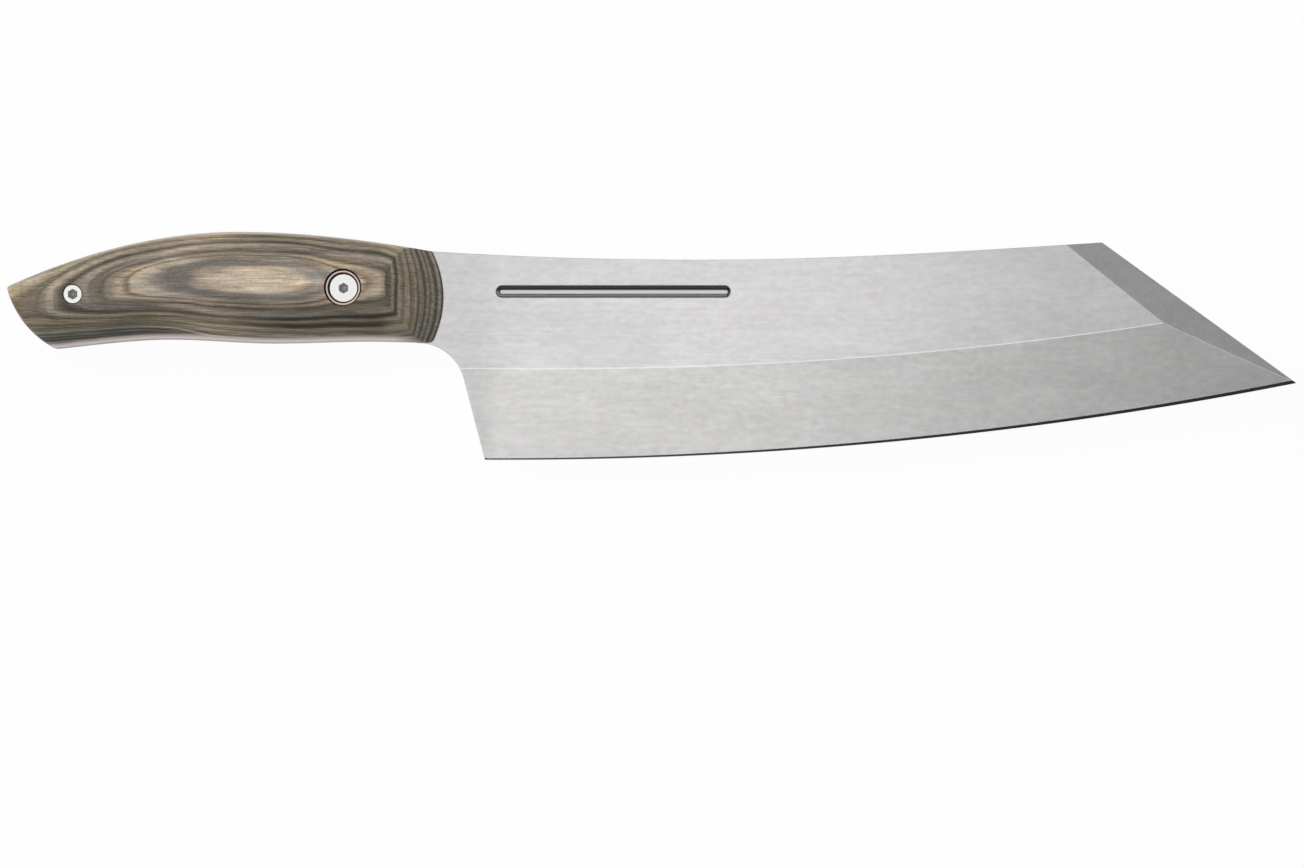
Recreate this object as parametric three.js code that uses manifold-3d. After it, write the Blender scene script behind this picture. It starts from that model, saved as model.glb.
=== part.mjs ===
// Bunka kitchen knife: a ground steel blade with a full tang, two laminated wood scales and two
// through fasteners. The knife lies on its left side: X runs from the butt to the tip, Y from the
// edge to the spine, and Z up and out of the handle's right side. Millimetres and degrees.

import * as THREE from 'three';
import { mergeVertices } from 'three/addons/utils/BufferGeometryUtils.js';
import Module from 'manifold-3d';

// Handle outline. The butt starts at X = 0, and the straight edge at the heel lies at Y = 0.
const HANDLE_LENGTH = 116.1;
const GRIP_CLEARANCE = 31.0; // from the edge up to the grip's underside
const GRIP_HEIGHT = 29.6; // from the underside up to the crest of the back
const CREST_FROM_BUTT = 61.5;
const BACK_RISE_ANGLE = 24.5; // slope of the back where it leaves the butt
const BACK_FALL_ANGLE = -10; // and where it meets the spine
const BUTT_HEIGHT = 15.0; // from the underside up to the butt's upper corner
const BUTT_LEAN = 13.0; // how far the butt's toe lies ahead of its upper corner
const BUTT_BEAK = 1.6; // how far the toe hooks below the underside
const BUTT_BULGE = 2.2;
const BUTT_CORNER_RADIUS = 0.9;
const BUTT_TOE_RADIUS = 3.0;
const FRONT_HEIGHT = 24.4; // from the underside up to the spine at the handle's front
const FRONT_BULGE = 3.0; // how far the scales' front edge bows out
const FRONT_TOE_RADIUS = 1.8;
// Hollow, swell and finger rest along the underside: share of the way to the front, and rise.
const UNDERSIDE_WAVE = [[0.36, 0.9], [0.62, -0.1], [0.84, 0.4]];

// Blade outline.
const BLADE_LENGTH = 226.8; // from the handle's front to the tip
const BLADE_DEPTH = 53.2; // from the edge up to the spine's lowest point
const WAIST_FROM_HANDLE = 68.2; // where that lowest point lies
const SPINE_FALL_ANGLE = -3.6; // slope of the spine where it leaves the handle
const SPINE_RISE_ANGLE = 3.7; // and where it meets the clip
const CLIP_LENGTH = 51.7;
const CLIP_DEPTH = 57.8; // from the edge up to the spine where the clip starts
const TIP_RISE = 20.4;
const HEEL_FROM_HANDLE = 11.0;
const HEEL_LEAN_ANGLE = 14.6;
const CHOIL_RADIUS = 12.5;
const EDGE_FLAT = 6.3; // straight stretch of the edge at the heel

// Blade grinds.
const STOCK = 3.2;
const GRIND_HEIGHT = 24.25; // from the edge up to the grind line at the heel
const GRIND_FLAT = 20.6; // straight stretch of the grind line
const GRIND_TIP_RISE = 18.1; // how far the grind line has risen above the tip
const EDGE_ROOT = 0.4; // thickness that the primary bevel runs down to
const EDGE_LAND = 0.06; // thickness left on the cutting edge
const EDGE_BEVEL_HEEL = 0.4; // height of the sharpened bevel
const EDGE_BEVEL_TIP = 0.8;
const SWEDGE_WIDTH_SPINE = 6.5;
const SWEDGE_WIDTH_TIP = 10.05;
const FULLER_LENGTH = 62.4;
const FULLER_WIDTH = 3.2;
const FULLER_DEPTH = 0.9;
const FULLER_FROM_HANDLE = 14.0;
const FULLER_BELOW_WAIST = 8.45; // its middle below the spine's lowest point

// Scales.
const SCALE_THICKNESS = 9.0; // at the crown
const CROWN_FROM_BUTT = 64.0;
const CROWN_RADIUS_REAR = 590; // lengthwise curve of the crown behind its highest point
const CROWN_RADIUS_FRONT = 820; // and ahead of it
const RIDGE_SHARE = 0.58; // the crown's place between the underside and the back
const FALL_POWER = 2.2;
const BACK_FALL_BUTT = 3.5; // how far the face falls from the crown to the back
const BACK_FALL_CROWN = 4.4;
const BACK_FALL_FRONT = 3.0;
const BELLY_FALL_BUTT = 6.0; // and from the crown to the underside
const BELLY_FALL_CROWN = 6.2;
const BELLY_FALL_FRONT = 5.0;
const BUTT_FALL = 0.8; // and from the crown to the butt
const BUTT_BLEND = 4.0;
const RIM_RADIUS = 1.3; // rounding of the rim round the back, butt and underside
const RIM_SHARE = 0.6; // the most of a thin rim's height that the rounding takes
const FACET_LENGTH = 15.6; // sloping front of the scale
const FACET_LIP = 0.6; // thickness left at the front edge
const FACET_ROUND = 0.18; // share of its fall that comes late

// Fasteners, from the scales' front and from the butt, above the underside.
const FRONT_FASTENER_SETBACK = 26.6;
const FRONT_FASTENER_RISE = 14.7;
const FRONT_HEAD_DIAMETER = 7.6;
const FRONT_HEAD_THICKNESS = 1.35;
const FRONT_SHANK_DIAMETER = 3.9;
const FRONT_BARREL_DIAMETER = 6.0;
const COLLAR_DIAMETER = 9.3;
const COLLAR_HEIGHT = 2.4;
const COLLAR_FLOOR = 0.8;
const REAR_FASTENER_INSET = 17.7;
const REAR_FASTENER_RISE = 13.0;
const REAR_HEAD_DIAMETER = 5.0;
const REAR_HEAD_THICKNESS = 1.3;
const REAR_SHANK_DIAMETER = 2.6;
const REAR_BARREL_DIAMETER = 4.0;
const SOCKET_ACROSS_FLATS = 2.38;
const SOCKET_FLOOR = 0.3; // head left under the hex socket
const RIM_CHAMFER = 0.25;
const SHANK_END_GAP = 0.8; // between each screw's end and the middle of the barrel
const FASTENER_RECESS = 0.35; // top of the fastener below the wood round it

// Clearances.
const BOND_GAP = 0.05; // between the scales and the tang
const TANG_RELIEF = 0.15; // depth of the tang's faces below the blade's flats
const SHOULDER_GAP = 0.1; // between the scales' front edge and the blade's shoulder
const SEAT_GAP = 0.05; // under each head and collar
const THREAD_GAP = 0.15;
const BARREL_GAP = 0.15;
const HEAD_GAP = 0.25; // round a head in its recess
const WOOD_GAP = 0.35; // round a collar or head in the wood

// Smoothness.
const CURVE_STEPS = 16;
const EDGE_STEPS = 28;
const ROUND_STEPS = 6;
const TURNED_SIDES = 40;
const FULLER_SIDES = 36;
const FACE_CELLS = [34, 12];
const RIM_ROWS = [0, 0.1, 0.4]; // rows of the face inside the rim, as shares of its rounding
const FACET_CELLS = [6, 14];
const OVERCUT = 5.0; // how far a cutter runs past the piece

const { degToRad, lerp } = THREE.MathUtils;
const wasm = await Module();
wasm.setup();

// Sizes that follow from those above.
const handleBack = GRIP_CLEARANCE + GRIP_HEIGHT;
const tip = new THREE.Vector2(HANDLE_LENGTH + BLADE_LENGTH, TIP_RISE);
const heel = new THREE.Vector2(HANDLE_LENGTH + HEEL_FROM_HANDLE, 0);
const clipStart = new THREE.Vector2(tip.x - CLIP_LENGTH, CLIP_DEPTH);
const waist = new THREE.Vector2(HANDLE_LENGTH + WAIST_FROM_HANDLE, BLADE_DEPTH);
const buttCorner = new THREE.Vector2(0, GRIP_CLEARANCE + BUTT_HEIGHT);
const buttToe = new THREE.Vector2(BUTT_LEAN, GRIP_CLEARANCE - BUTT_BEAK);
const crest = new THREE.Vector2(CREST_FROM_BUTT, handleBack);
const frontCorner = new THREE.Vector2(HANDLE_LENGTH - FRONT_BULGE, GRIP_CLEARANCE + FRONT_HEIGHT);
const frontToe = new THREE.Vector2(frontCorner.x, GRIP_CLEARANCE);
const flat = STOCK / 2;
const tangFace = flat - TANG_RELIEF;
const scaleFace = tangFace + BOND_GAP;
const handleHalf = scaleFace + SCALE_THICKNESS;

// Joins and cuts.

function solidOf(geometry) {
  const plain = new THREE.BufferGeometry();
  plain.setAttribute('position', geometry.getAttribute('position'));
  plain.setIndex(geometry.getIndex());
  const merged = mergeVertices(plain);
  const corners = merged.getIndex().array;
  const kept = [];
  for (let i = 0; i < corners.length; i += 3) {
    const [a, b, c] = corners.slice(i, i + 3);
    if (a !== b && b !== c && c !== a) kept.push(a, b, c);
  }
  const vertProperties = merged.getAttribute('position').array;
  return new wasm.Manifold(new wasm.Mesh({ numProp: 3, vertProperties, triVerts: Uint32Array.from(kept) }));
}

function geometryOf(solid) {
  const { vertProperties, triVerts } = solid.getMesh();
  const geometry = new THREE.BufferGeometry();
  geometry.setAttribute('position', new THREE.BufferAttribute(vertProperties, 3));
  geometry.setIndex(new THREE.BufferAttribute(triVerts, 1));
  geometry.computeVertexNormals();
  return geometry;
}

function cut(body, cutters) {
  return geometryOf(cutters.reduce((left, cutter) => left.subtract(solidOf(cutter)), solidOf(body)));
}

function mirrored(geometry) {
  const copy = geometry.clone().scale(1, 1, -1);
  if (!copy.getIndex()) copy.setIndex([...Array(copy.getAttribute('position').count).keys()]);
  copy.getIndex().array.reverse();
  copy.computeVertexNormals();
  return copy;
}

// Curves in the plane of the blade.

function direction(angle) {
  return new THREE.Vector2(Math.cos(degToRad(angle)), Math.sin(degToRad(angle)));
}

function sweep(start, startAngle, end, endAngle) {
  const reach = start.distanceTo(end) / 3;
  const leaving = start.clone().addScaledVector(direction(startAngle), reach);
  const arriving = end.clone().addScaledVector(direction(endAngle), -reach);
  return new THREE.CubicBezierCurve(start, leaving, arriving, end).getPoints(CURVE_STEPS);
}

function roundCorner(before, corner, after, radius) {
  const back = before.clone().sub(corner).normalize();
  const ahead = after.clone().sub(corner).normalize();
  const half = Math.acos(back.dot(ahead)) / 2;
  const middle = back.clone().add(ahead).normalize();
  const centre = corner.clone().addScaledVector(middle, radius / Math.sin(half));
  const from = corner.clone().addScaledVector(back, radius / Math.tan(half)).sub(centre);
  const turn = (Math.PI - 2 * half) * Math.sign(back.cross(ahead));
  const points = [];
  for (let i = 0; i <= ROUND_STEPS; i += 1) {
    const angle = (-turn * i) / ROUND_STEPS;
    points.push(from.clone().rotateAround(new THREE.Vector2(), angle).add(centre));
  }
  return points;
}

function lookUp(points, key, value, at) {
  const next = points.findIndex((point) => point[key] >= at);
  if (next === 0) return points[0][value];
  if (next < 0) return points.at(-1)[value];
  const [a, b] = [points[next - 1], points[next]];
  return lerp(a[value], b[value], (at - a[key]) / (b[key] - a[key]));
}

// Outlines.

function buttCurve() {
  const chord = buttToe.clone().sub(buttCorner);
  const outward = new THREE.Vector2(chord.y, -chord.x).normalize();
  const control = buttCorner.clone().lerp(buttToe, 0.5).addScaledVector(outward, 2 * BUTT_BULGE);
  return new THREE.QuadraticBezierCurve(buttCorner, control, buttToe).getPoints(CURVE_STEPS / 2);
}

function undersideCurve() {
  const wave = UNDERSIDE_WAVE.map(([share, rise]) => [frontToe.x * share, GRIP_CLEARANCE + rise]);
  const points = wave.map(([x, y]) => new THREE.Vector2(x, y));
  return new THREE.SplineCurve([buttToe, ...points, frontToe]).getPoints(2 * CURVE_STEPS);
}

const back = [
  ...sweep(buttCorner, BACK_RISE_ANGLE, crest, 0),
  ...sweep(crest, 0, frontCorner, BACK_FALL_ANGLE).slice(1),
];
const butt = buttCurve();
const buttUpward = butt.toReversed();
const underside = undersideCurve();
const toeRound = roundCorner(underside[1], buttToe, butt.at(-2), BUTT_TOE_RADIUS);
const cornerRound = roundCorner(butt[1], buttCorner, back[1], BUTT_CORNER_RADIUS);
const buttOutline = [
  ...toeRound,
  ...buttUpward.slice(1, -1),
  ...cornerRound,
  ...back.slice(1, -1),
  frontCorner,
];

function frontX(y) {
  const middle = (frontCorner.y + frontToe.y) / 2;
  return HANDLE_LENGTH - FRONT_BULGE * ((y - middle) / (FRONT_HEIGHT / 2)) ** 2;
}

function frontEdge(gap, overrun) {
  const points = [];
  for (let i = 0; i <= CURVE_STEPS; i += 1) {
    const y = lerp(frontCorner.y + overrun, frontToe.y - overrun, i / CURVE_STEPS);
    points.push(new THREE.Vector2(frontX(y) + gap, y));
  }
  return points;
}

function edgeY(x) {
  const start = heel.x + EDGE_FLAT;
  const reach = tip.x - start;
  const radius = (reach ** 2 + TIP_RISE ** 2) / (2 * TIP_RISE);
  return x < start ? 0 : radius - Math.sqrt(radius ** 2 - (x - start) ** 2);
}

function grindY(x) {
  const start = heel.x + GRIND_FLAT;
  const share = Math.max(0, x - start) / (tip.x - start);
  return GRIND_HEIGHT + GRIND_TIP_RISE * share ** 2;
}

// The scale's four sides, which meet halfway round its rounded corners.
function scaleSides() {
  const half = ROUND_STEPS / 2;
  const front = frontEdge(0, 0);
  const frontRound = roundCorner(underside.at(-2), frontToe, front.at(-2), FRONT_TOE_RADIUS);
  const paths = {
    belly: [
      ...toeRound.slice(0, half + 1).reverse(),
      ...underside.slice(1, -1),
      ...frontRound.slice(0, half + 1),
    ],
    back: [...cornerRound.slice(half), ...back.slice(1, -1), frontCorner],
    butt: [...toeRound.slice(half), ...buttUpward.slice(1, -1), ...cornerRound.slice(0, half + 1)],
    front: [...frontRound.slice(half), ...front.slice(1, -1).reverse(), frontCorner],
  };
  return Object.fromEntries(Object.entries(paths).map(([side, points]) => [side, new THREE.Path(points)]));
}

function knifeOutline() {
  const lean = Math.tan(degToRad(HEEL_LEAN_ANGLE));
  const choilCorner = new THREE.Vector2(heel.x - GRIP_CLEARANCE * lean, GRIP_CLEARANCE);
  const choil = roundCorner(heel, choilCorner, frontToe.clone().setX(0), CHOIL_RADIUS);
  const edge = [];
  for (let i = 0; i <= EDGE_STEPS; i += 1) {
    const x = lerp(tip.x, heel.x + EDGE_FLAT, i / EDGE_STEPS);
    edge.push(new THREE.Vector2(x, edgeY(x)));
  }
  return [
    ...buttOutline,
    ...sweep(frontCorner, SPINE_FALL_ANGLE, waist, 0).slice(1),
    ...sweep(waist, 0, clipStart, SPINE_RISE_ANGLE).slice(1),
    ...edge,
    heel,
    ...choil,
    ...underside.slice(1).filter((point) => point.x < choil.at(-1).x).reverse(),
  ];
}

function plate(outline, bottom, top) {
  const settings = { depth: top - bottom, bevelEnabled: false };
  return new THREE.ExtrudeGeometry(new THREE.Shape(outline), settings).translate(0, 0, bottom);
}

// Cutters that take the right face; the left face is cut by their mirror images.

// Takes what lies above a ruled face between two lines, each giving a height and a depth along X.
function grindCutter(from, to, lineA, lineB) {
  const cutter = new THREE.BoxGeometry(1, 1, 1, EDGE_STEPS, 1, 1);
  const place = cutter.getAttribute('position');
  for (let i = 0; i < place.count; i += 1) {
    const x = lerp(from, to, place.getX(i) + 0.5);
    const [low, high] = [lineA(x), lineB(x)].sort((a, b) => a.y - b.y);
    const slope = (high.z - low.z) / (high.y - low.y);
    const y = place.getY(i) < 0 ? low.y - OVERCUT : high.y + OVERCUT;
    const z = place.getZ(i) < 0 ? low.z + slope * (y - low.y) : flat + OVERCUT;
    place.setXYZ(i, x, y, z);
  }
  return cutter;
}

function bevelZ(x, y) {
  const share = (y - edgeY(x)) / (grindY(x) - edgeY(x));
  return lerp(EDGE_ROOT / 2, flat, share);
}

function primaryBevelCutter() {
  const edgeLine = (x) => ({ y: edgeY(x), z: EDGE_ROOT / 2 });
  const grindLine = (x) => ({ y: grindY(x), z: flat });
  return grindCutter(heel.x - 2 * OVERCUT, tip.x + OVERCUT, edgeLine, grindLine);
}

function edgeBevelCutter() {
  const shoulder = (x) => {
    const share = (x - heel.x) / (tip.x - heel.x);
    const y = edgeY(x) + lerp(EDGE_BEVEL_HEEL, EDGE_BEVEL_TIP, share);
    return { y, z: bevelZ(x, y) };
  };
  const edgeLine = (x) => ({ y: edgeY(x), z: EDGE_LAND / 2 });
  return grindCutter(heel.x - OVERCUT, tip.x + OVERCUT, edgeLine, shoulder);
}

// The swedge runs out at the tip, where it comes down to the thickness of the edge's root.
function swedgeCutter() {
  const clip = tip.clone().sub(clipStart);
  const across = clip.length() / clip.x; // height along Y for each millimetre square to the clip
  const fall = (flat - EDGE_ROOT / 2) / SWEDGE_WIDTH_TIP;
  const share = (x) => (x - clipStart.x) / clip.x;
  const width = (x) => lerp(SWEDGE_WIDTH_SPINE, SWEDGE_WIDTH_TIP, share(x));
  const clipY = (x) => lerp(clipStart.y, tip.y, share(x));
  const clipLine = (x) => ({ y: clipY(x), z: flat - width(x) * fall });
  const swedgeLine = (x) => ({ y: clipY(x) - width(x) * across, z: flat });
  return grindCutter(clipStart.x - 4 * OVERCUT, tip.x + OVERCUT, clipLine, swedgeLine);
}

function fullerCutter() {
  const radius = ((FULLER_WIDTH / 2) ** 2 + FULLER_DEPTH ** 2) / (2 * FULLER_DEPTH);
  const straight = FULLER_LENGTH - FULLER_WIDTH;
  const end = new THREE.EllipseCurve(0, straight / 2, radius, radius, 0, Math.PI / 2);
  const top = end.getPoints(ROUND_STEPS + 2);
  top.at(-1).x = 0;
  const bottom = top.map((point) => new THREE.Vector2(point.x, -point.y)).reverse();
  const x = HANDLE_LENGTH + FULLER_FROM_HANDLE + FULLER_LENGTH / 2;
  const tool = new THREE.LatheGeometry([...bottom, ...top], FULLER_SIDES).rotateZ(Math.PI / 2);
  return tool.translate(x, BLADE_DEPTH - FULLER_BELOW_WAIST, flat - FULLER_DEPTH + radius);
}

function tangReliefCutter() {
  const front = frontEdge(SHOULDER_GAP, OVERCUT);
  const behind = buttCorner.x - OVERCUT;
  const outline = [
    ...front,
    new THREE.Vector2(behind, front.at(-1).y),
    new THREE.Vector2(behind, handleBack + OVERCUT),
    new THREE.Vector2(front[0].x, handleBack + OVERCUT),
  ];
  return plate(outline, tangFace, flat + OVERCUT);
}

// Height of a scale's outer face above its flat back, without the sloping front.

function crownHeight(x) {
  const radius = x < CROWN_FROM_BUTT ? CROWN_RADIUS_REAR : CROWN_RADIUS_FRONT;
  return SCALE_THICKNESS - (x - CROWN_FROM_BUTT) ** 2 / (2 * radius);
}

function sideFall(x, atButt, atCrown, atFront) {
  if (x < CROWN_FROM_BUTT) return lerp(atButt, atCrown, x / CROWN_FROM_BUTT);
  return lerp(atCrown, atFront, (x - CROWN_FROM_BUTT) / (HANDLE_LENGTH - CROWN_FROM_BUTT));
}

function domeHeight(x, y) {
  const top = lookUp(back, 'x', 'y', x);
  const bottom = lookUp(underside, 'x', 'y', x);
  const ridge = lerp(bottom, top, RIDGE_SHARE);
  const toBack = sideFall(x, BACK_FALL_BUTT, BACK_FALL_CROWN, BACK_FALL_FRONT);
  const toBelly = sideFall(x, BELLY_FALL_BUTT, BELLY_FALL_CROWN, BELLY_FALL_FRONT);
  const share = Math.min(1, y > ridge ? (y - ridge) / (top - ridge) : (ridge - y) / (ridge - bottom));
  const across = (y > ridge ? toBack : toBelly) * share ** FALL_POWER;
  const fromButt = Math.max(0, x - lookUp(buttUpward, 'y', 'x', y));
  const along = BUTT_FALL * Math.max(0, 1 - fromButt / BUTT_BLEND) ** 2;
  return crownHeight(x) - Math.hypot(across, along);
}

// The same height with the rim rounded, at a distance in from the outline.
function rimmedHeight(x, y, inset) {
  const height = domeHeight(x, y);
  const radius = Math.min(RIM_RADIUS, RIM_SHARE * height);
  const depth = Math.max(0, radius - inset);
  return height - radius + Math.sqrt(radius ** 2 - depth ** 2);
}

function facetHeight(x, y) {
  const start = HANDLE_LENGTH - FACET_LENGTH;
  const share = (x - start) / (frontX(y) - start);
  return lerp(crownHeight(start), FACET_LIP, share * (1 - FACET_ROUND + FACET_ROUND * Math.abs(share)));
}

// Shares of the way across a face, with rows close together inside the rims at its ends.
function faceRows(cells, rimStart, rimEnd) {
  const inner = Array.from({ length: cells + 1 }, (_, i) => lerp(rimStart, 1 - rimEnd, i / cells));
  const atStart = rimStart > 0 ? RIM_ROWS.map((row) => row * rimStart) : [];
  const atEnd = rimEnd > 0 ? RIM_ROWS.map((row) => 1 - row * rimEnd).reverse() : [];
  return [...atStart, ...inner, ...atEnd];
}

// The wood of one scale, from below its flat back up to its domed face.
function scaleBlank() {
  const sides = scaleSides();
  const columns = faceRows(FACE_CELLS[0], RIM_RADIUS / HANDLE_LENGTH, 0);
  const rows = faceRows(FACE_CELLS[1], RIM_RADIUS / GRIP_HEIGHT, RIM_RADIUS / GRIP_HEIGHT);
  const pointAt = (u, v) => {
    const ruled = sides.belly.getPoint(u).lerp(sides.back.getPoint(u), v);
    const crossed = sides.butt.getPoint(v).lerp(sides.front.getPoint(v), u);
    const low = sides.belly.getPoint(0).lerp(sides.belly.getPoint(1), u);
    const high = sides.back.getPoint(0).lerp(sides.back.getPoint(1), u);
    return ruled.add(crossed).sub(low.lerp(high, v));
  };
  const [across, up] = [columns.length - 1, rows.length - 1];
  const block = new THREE.BoxGeometry(1, 1, 1, across, up, 1);
  const place = block.getAttribute('position');
  for (let i = 0; i < place.count; i += 1) {
    const u = columns[Math.round((place.getX(i) + 0.5) * across)];
    const v = rows[Math.round((place.getY(i) + 0.5) * up)];
    const { x, y } = pointAt(u, v);
    const rims = [pointAt(u, 0), pointAt(u, 1), pointAt(0, v)];
    const inset = Math.min(...rims.map((rim) => Math.hypot(x - rim.x, y - rim.y)));
    const z = place.getZ(i) < 0 ? scaleFace - OVERCUT : scaleFace + rimmedHeight(x, y, inset);
    place.setXYZ(i, x, y, z);
  }
  return block;
}

// What lies above the sloping front of a scale.
function facetCutter() {
  const cutter = new THREE.BoxGeometry(1, 1, 1, FACET_CELLS[0], FACET_CELLS[1], 1);
  const place = cutter.getAttribute('position');
  for (let i = 0; i < place.count; i += 1) {
    const x = lerp(HANDLE_LENGTH - FACET_LENGTH - OVERCUT, HANDLE_LENGTH + OVERCUT, place.getX(i) + 0.5);
    const y = lerp(buttToe.y - OVERCUT, handleBack + OVERCUT, place.getY(i) + 0.5);
    const z = place.getZ(i) < 0 ? scaleFace + facetHeight(x, y) : handleHalf + 2 * OVERCUT;
    place.setXYZ(i, x, y, z);
  }
  return cutter;
}

// Fasteners, each turned about its own axis, with the tang's middle at Z = 0.

function turned(profile) {
  const points = profile.map(([radius, z]) => new THREE.Vector2(radius, z));
  return new THREE.LatheGeometry(points, TURNED_SIDES).rotateX(Math.PI / 2);
}

function disc(diameter, bottom, top) {
  const length = top - bottom;
  const drum = new THREE.CylinderGeometry(diameter / 2, diameter / 2, length, TURNED_SIDES);
  return drum.rotateX(Math.PI / 2).translate(0, 0, bottom + length / 2);
}

function tube(outer, inner, bottom, top) {
  return turned([[inner, bottom], [outer, bottom], [outer, top], [inner, top], [inner, bottom]]);
}

function barrel(diameter, shank, half) {
  return tube(diameter / 2, shank / 2 + THREAD_GAP, -half, half);
}

function screw(head, thickness, shank, seat) {
  const top = seat + thickness;
  const body = turned([
    [0, SHANK_END_GAP],
    [shank / 2, SHANK_END_GAP],
    [shank / 2, seat],
    [head / 2, seat],
    [head / 2, top - RIM_CHAMFER],
    [head / 2 - RIM_CHAMFER, top],
    [0, top],
  ]);
  const corner = SOCKET_ACROSS_FLATS / Math.sqrt(3);
  const socket = new THREE.CylinderGeometry(corner, corner, thickness, 6).rotateX(Math.PI / 2);
  return cut(body, [socket.translate(0, 0, top + SOCKET_FLOOR - thickness / 2)]);
}

function collar(seat) {
  const [outer, inner] = [COLLAR_DIAMETER / 2, FRONT_HEAD_DIAMETER / 2 + HEAD_GAP];
  const hole = FRONT_SHANK_DIAMETER / 2 + THREAD_GAP;
  const [floor, top] = [seat + COLLAR_FLOOR, seat + COLLAR_HEIGHT];
  return turned([
    [hole, seat],
    [outer, seat],
    [outer, top - RIM_CHAMFER],
    [outer - RIM_CHAMFER, top],
    [inner, top],
    [inner, floor],
    [hole, floor],
    [hole, seat],
  ]);
}

// Where each fastener stands, and the level in the wood that it is drawn down on.

function fastenerAt(x, rise, height) {
  const y = GRIP_CLEARANCE + rise;
  return { x, y, seat: scaleFace + domeHeight(x, y) - FASTENER_RECESS - height };
}

const frontFastener = fastenerAt(HANDLE_LENGTH - FRONT_FASTENER_SETBACK, FRONT_FASTENER_RISE, COLLAR_HEIGHT);
const rearFastener = fastenerAt(REAR_FASTENER_INSET, REAR_FASTENER_RISE, REAR_HEAD_THICKNESS);

function fastenerHoles({ x, y, seat }, barrelDiameter, recessDiameter) {
  const hole = disc(barrelDiameter + 2 * BARREL_GAP, -handleHalf - OVERCUT, handleHalf + OVERCUT);
  const recess = disc(recessDiameter + 2 * WOOD_GAP, seat - SEAT_GAP, handleHalf + OVERCUT);
  return { hole: hole.translate(x, y, 0), recess: recess.translate(x, y, 0) };
}

const frontHoles = fastenerHoles(frontFastener, FRONT_BARREL_DIAMETER, COLLAR_DIAMETER);
const rearHoles = fastenerHoles(rearFastener, REAR_BARREL_DIAMETER, REAR_HEAD_DIAMETER);

// Sub-parts.

function bladeShape() {
  const cutters = [
    primaryBevelCutter(),
    edgeBevelCutter(),
    swedgeCutter(),
    fullerCutter(),
    tangReliefCutter(),
  ];
  return cut(plate(knifeOutline(), -flat, flat), [
    ...cutters,
    ...cutters.map(mirrored),
    frontHoles.hole,
    rearHoles.hole,
  ]);
}

function scaleShape() {
  const below = new THREE.BoxGeometry(2 * HANDLE_LENGTH, 4 * handleBack, 2 * OVERCUT);
  return cut(scaleBlank(), [
    below.translate(HANDLE_LENGTH / 2, 0, scaleFace - OVERCUT),
    facetCutter(),
    frontHoles.hole,
    frontHoles.recess,
    rearHoles.hole,
    rearHoles.recess,
  ]);
}

// Materials.

const FINISHES = {
  blade: { color: 0xc9c9cb, roughness: 0.38, metalness: 1 },
  wood: { color: 0x8a7a63, roughness: 0.5, metalness: 0 },
  screw: { color: 0xe2e2e2, roughness: 0.3, metalness: 1 },
  collar: { color: 0xcfc3b8, roughness: 0.3, metalness: 1 },
  barrel: { color: 0xb9b9bb, roughness: 0.4, metalness: 1 },
};

function piece(name, geometry, finish) {
  const mesh = new THREE.Mesh(geometry, new THREE.MeshStandardMaterial(FINISHES[finish]));
  mesh.name = name;
  return mesh;
}

// The knife.

const knife = new THREE.Group();
const scale = scaleShape();
knife.add(piece('blade', bladeShape(), 'blade'));
knife.add(piece('scale_right', scale, 'wood'));
knife.add(piece('scale_left', mirrored(scale), 'wood'));

const frontGroup = new THREE.Group();
const rearGroup = new THREE.Group();
frontGroup.position.set(frontFastener.x, frontFastener.y, 0);
rearGroup.position.set(rearFastener.x, rearFastener.y, 0);
frontGroup.add(piece('front_barrel', barrel(
  FRONT_BARREL_DIAMETER, FRONT_SHANK_DIAMETER, frontFastener.seat - SEAT_GAP), 'barrel'));
rearGroup.add(piece('rear_barrel', barrel(
  REAR_BARREL_DIAMETER, REAR_SHANK_DIAMETER, rearFastener.seat - SEAT_GAP), 'barrel'));
knife.add(frontGroup, rearGroup);

for (const side of ['right', 'left']) {
  const frontSide = new THREE.Group();
  const rearSide = new THREE.Group();
  const turn = side === 'right' ? 0 : Math.PI;
  frontSide.rotation.x = turn;
  rearSide.rotation.x = turn;
  const headSeat = frontFastener.seat + COLLAR_FLOOR + SEAT_GAP;
  frontSide.add(piece(`front_collar_${side}`, collar(frontFastener.seat), 'collar'));
  frontSide.add(piece(`front_screw_${side}`, screw(
    FRONT_HEAD_DIAMETER, FRONT_HEAD_THICKNESS, FRONT_SHANK_DIAMETER, headSeat), 'screw'));
  rearSide.add(piece(`rear_screw_${side}`, screw(
    REAR_HEAD_DIAMETER, REAR_HEAD_THICKNESS, REAR_SHANK_DIAMETER, rearFastener.seat), 'screw'));
  frontGroup.add(frontSide);
  rearGroup.add(rearSide);
}

// The origin is under the middle of the knife as it lies.
const middle = new THREE.Box2().setFromPoints(knifeOutline()).getCenter(new THREE.Vector2());
knife.position.set(-middle.x, -middle.y, handleHalf);

export default knife;
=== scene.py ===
"""Bunka knife: the finished looks of its blade, laminated scales and fasteners, with studio and camera.

Every piece is modelled in millimetres on the knife's own axes: X from the butt to the tip, Y from the
edge to the spine, Z out of the right side with the middle of the steel at 0. It is then settled into the
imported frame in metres.
"""

import logging
import math
from collections.abc import Callable, Iterable, Sequence
from dataclasses import dataclass, replace
from enum import Enum
from typing import Any

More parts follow.
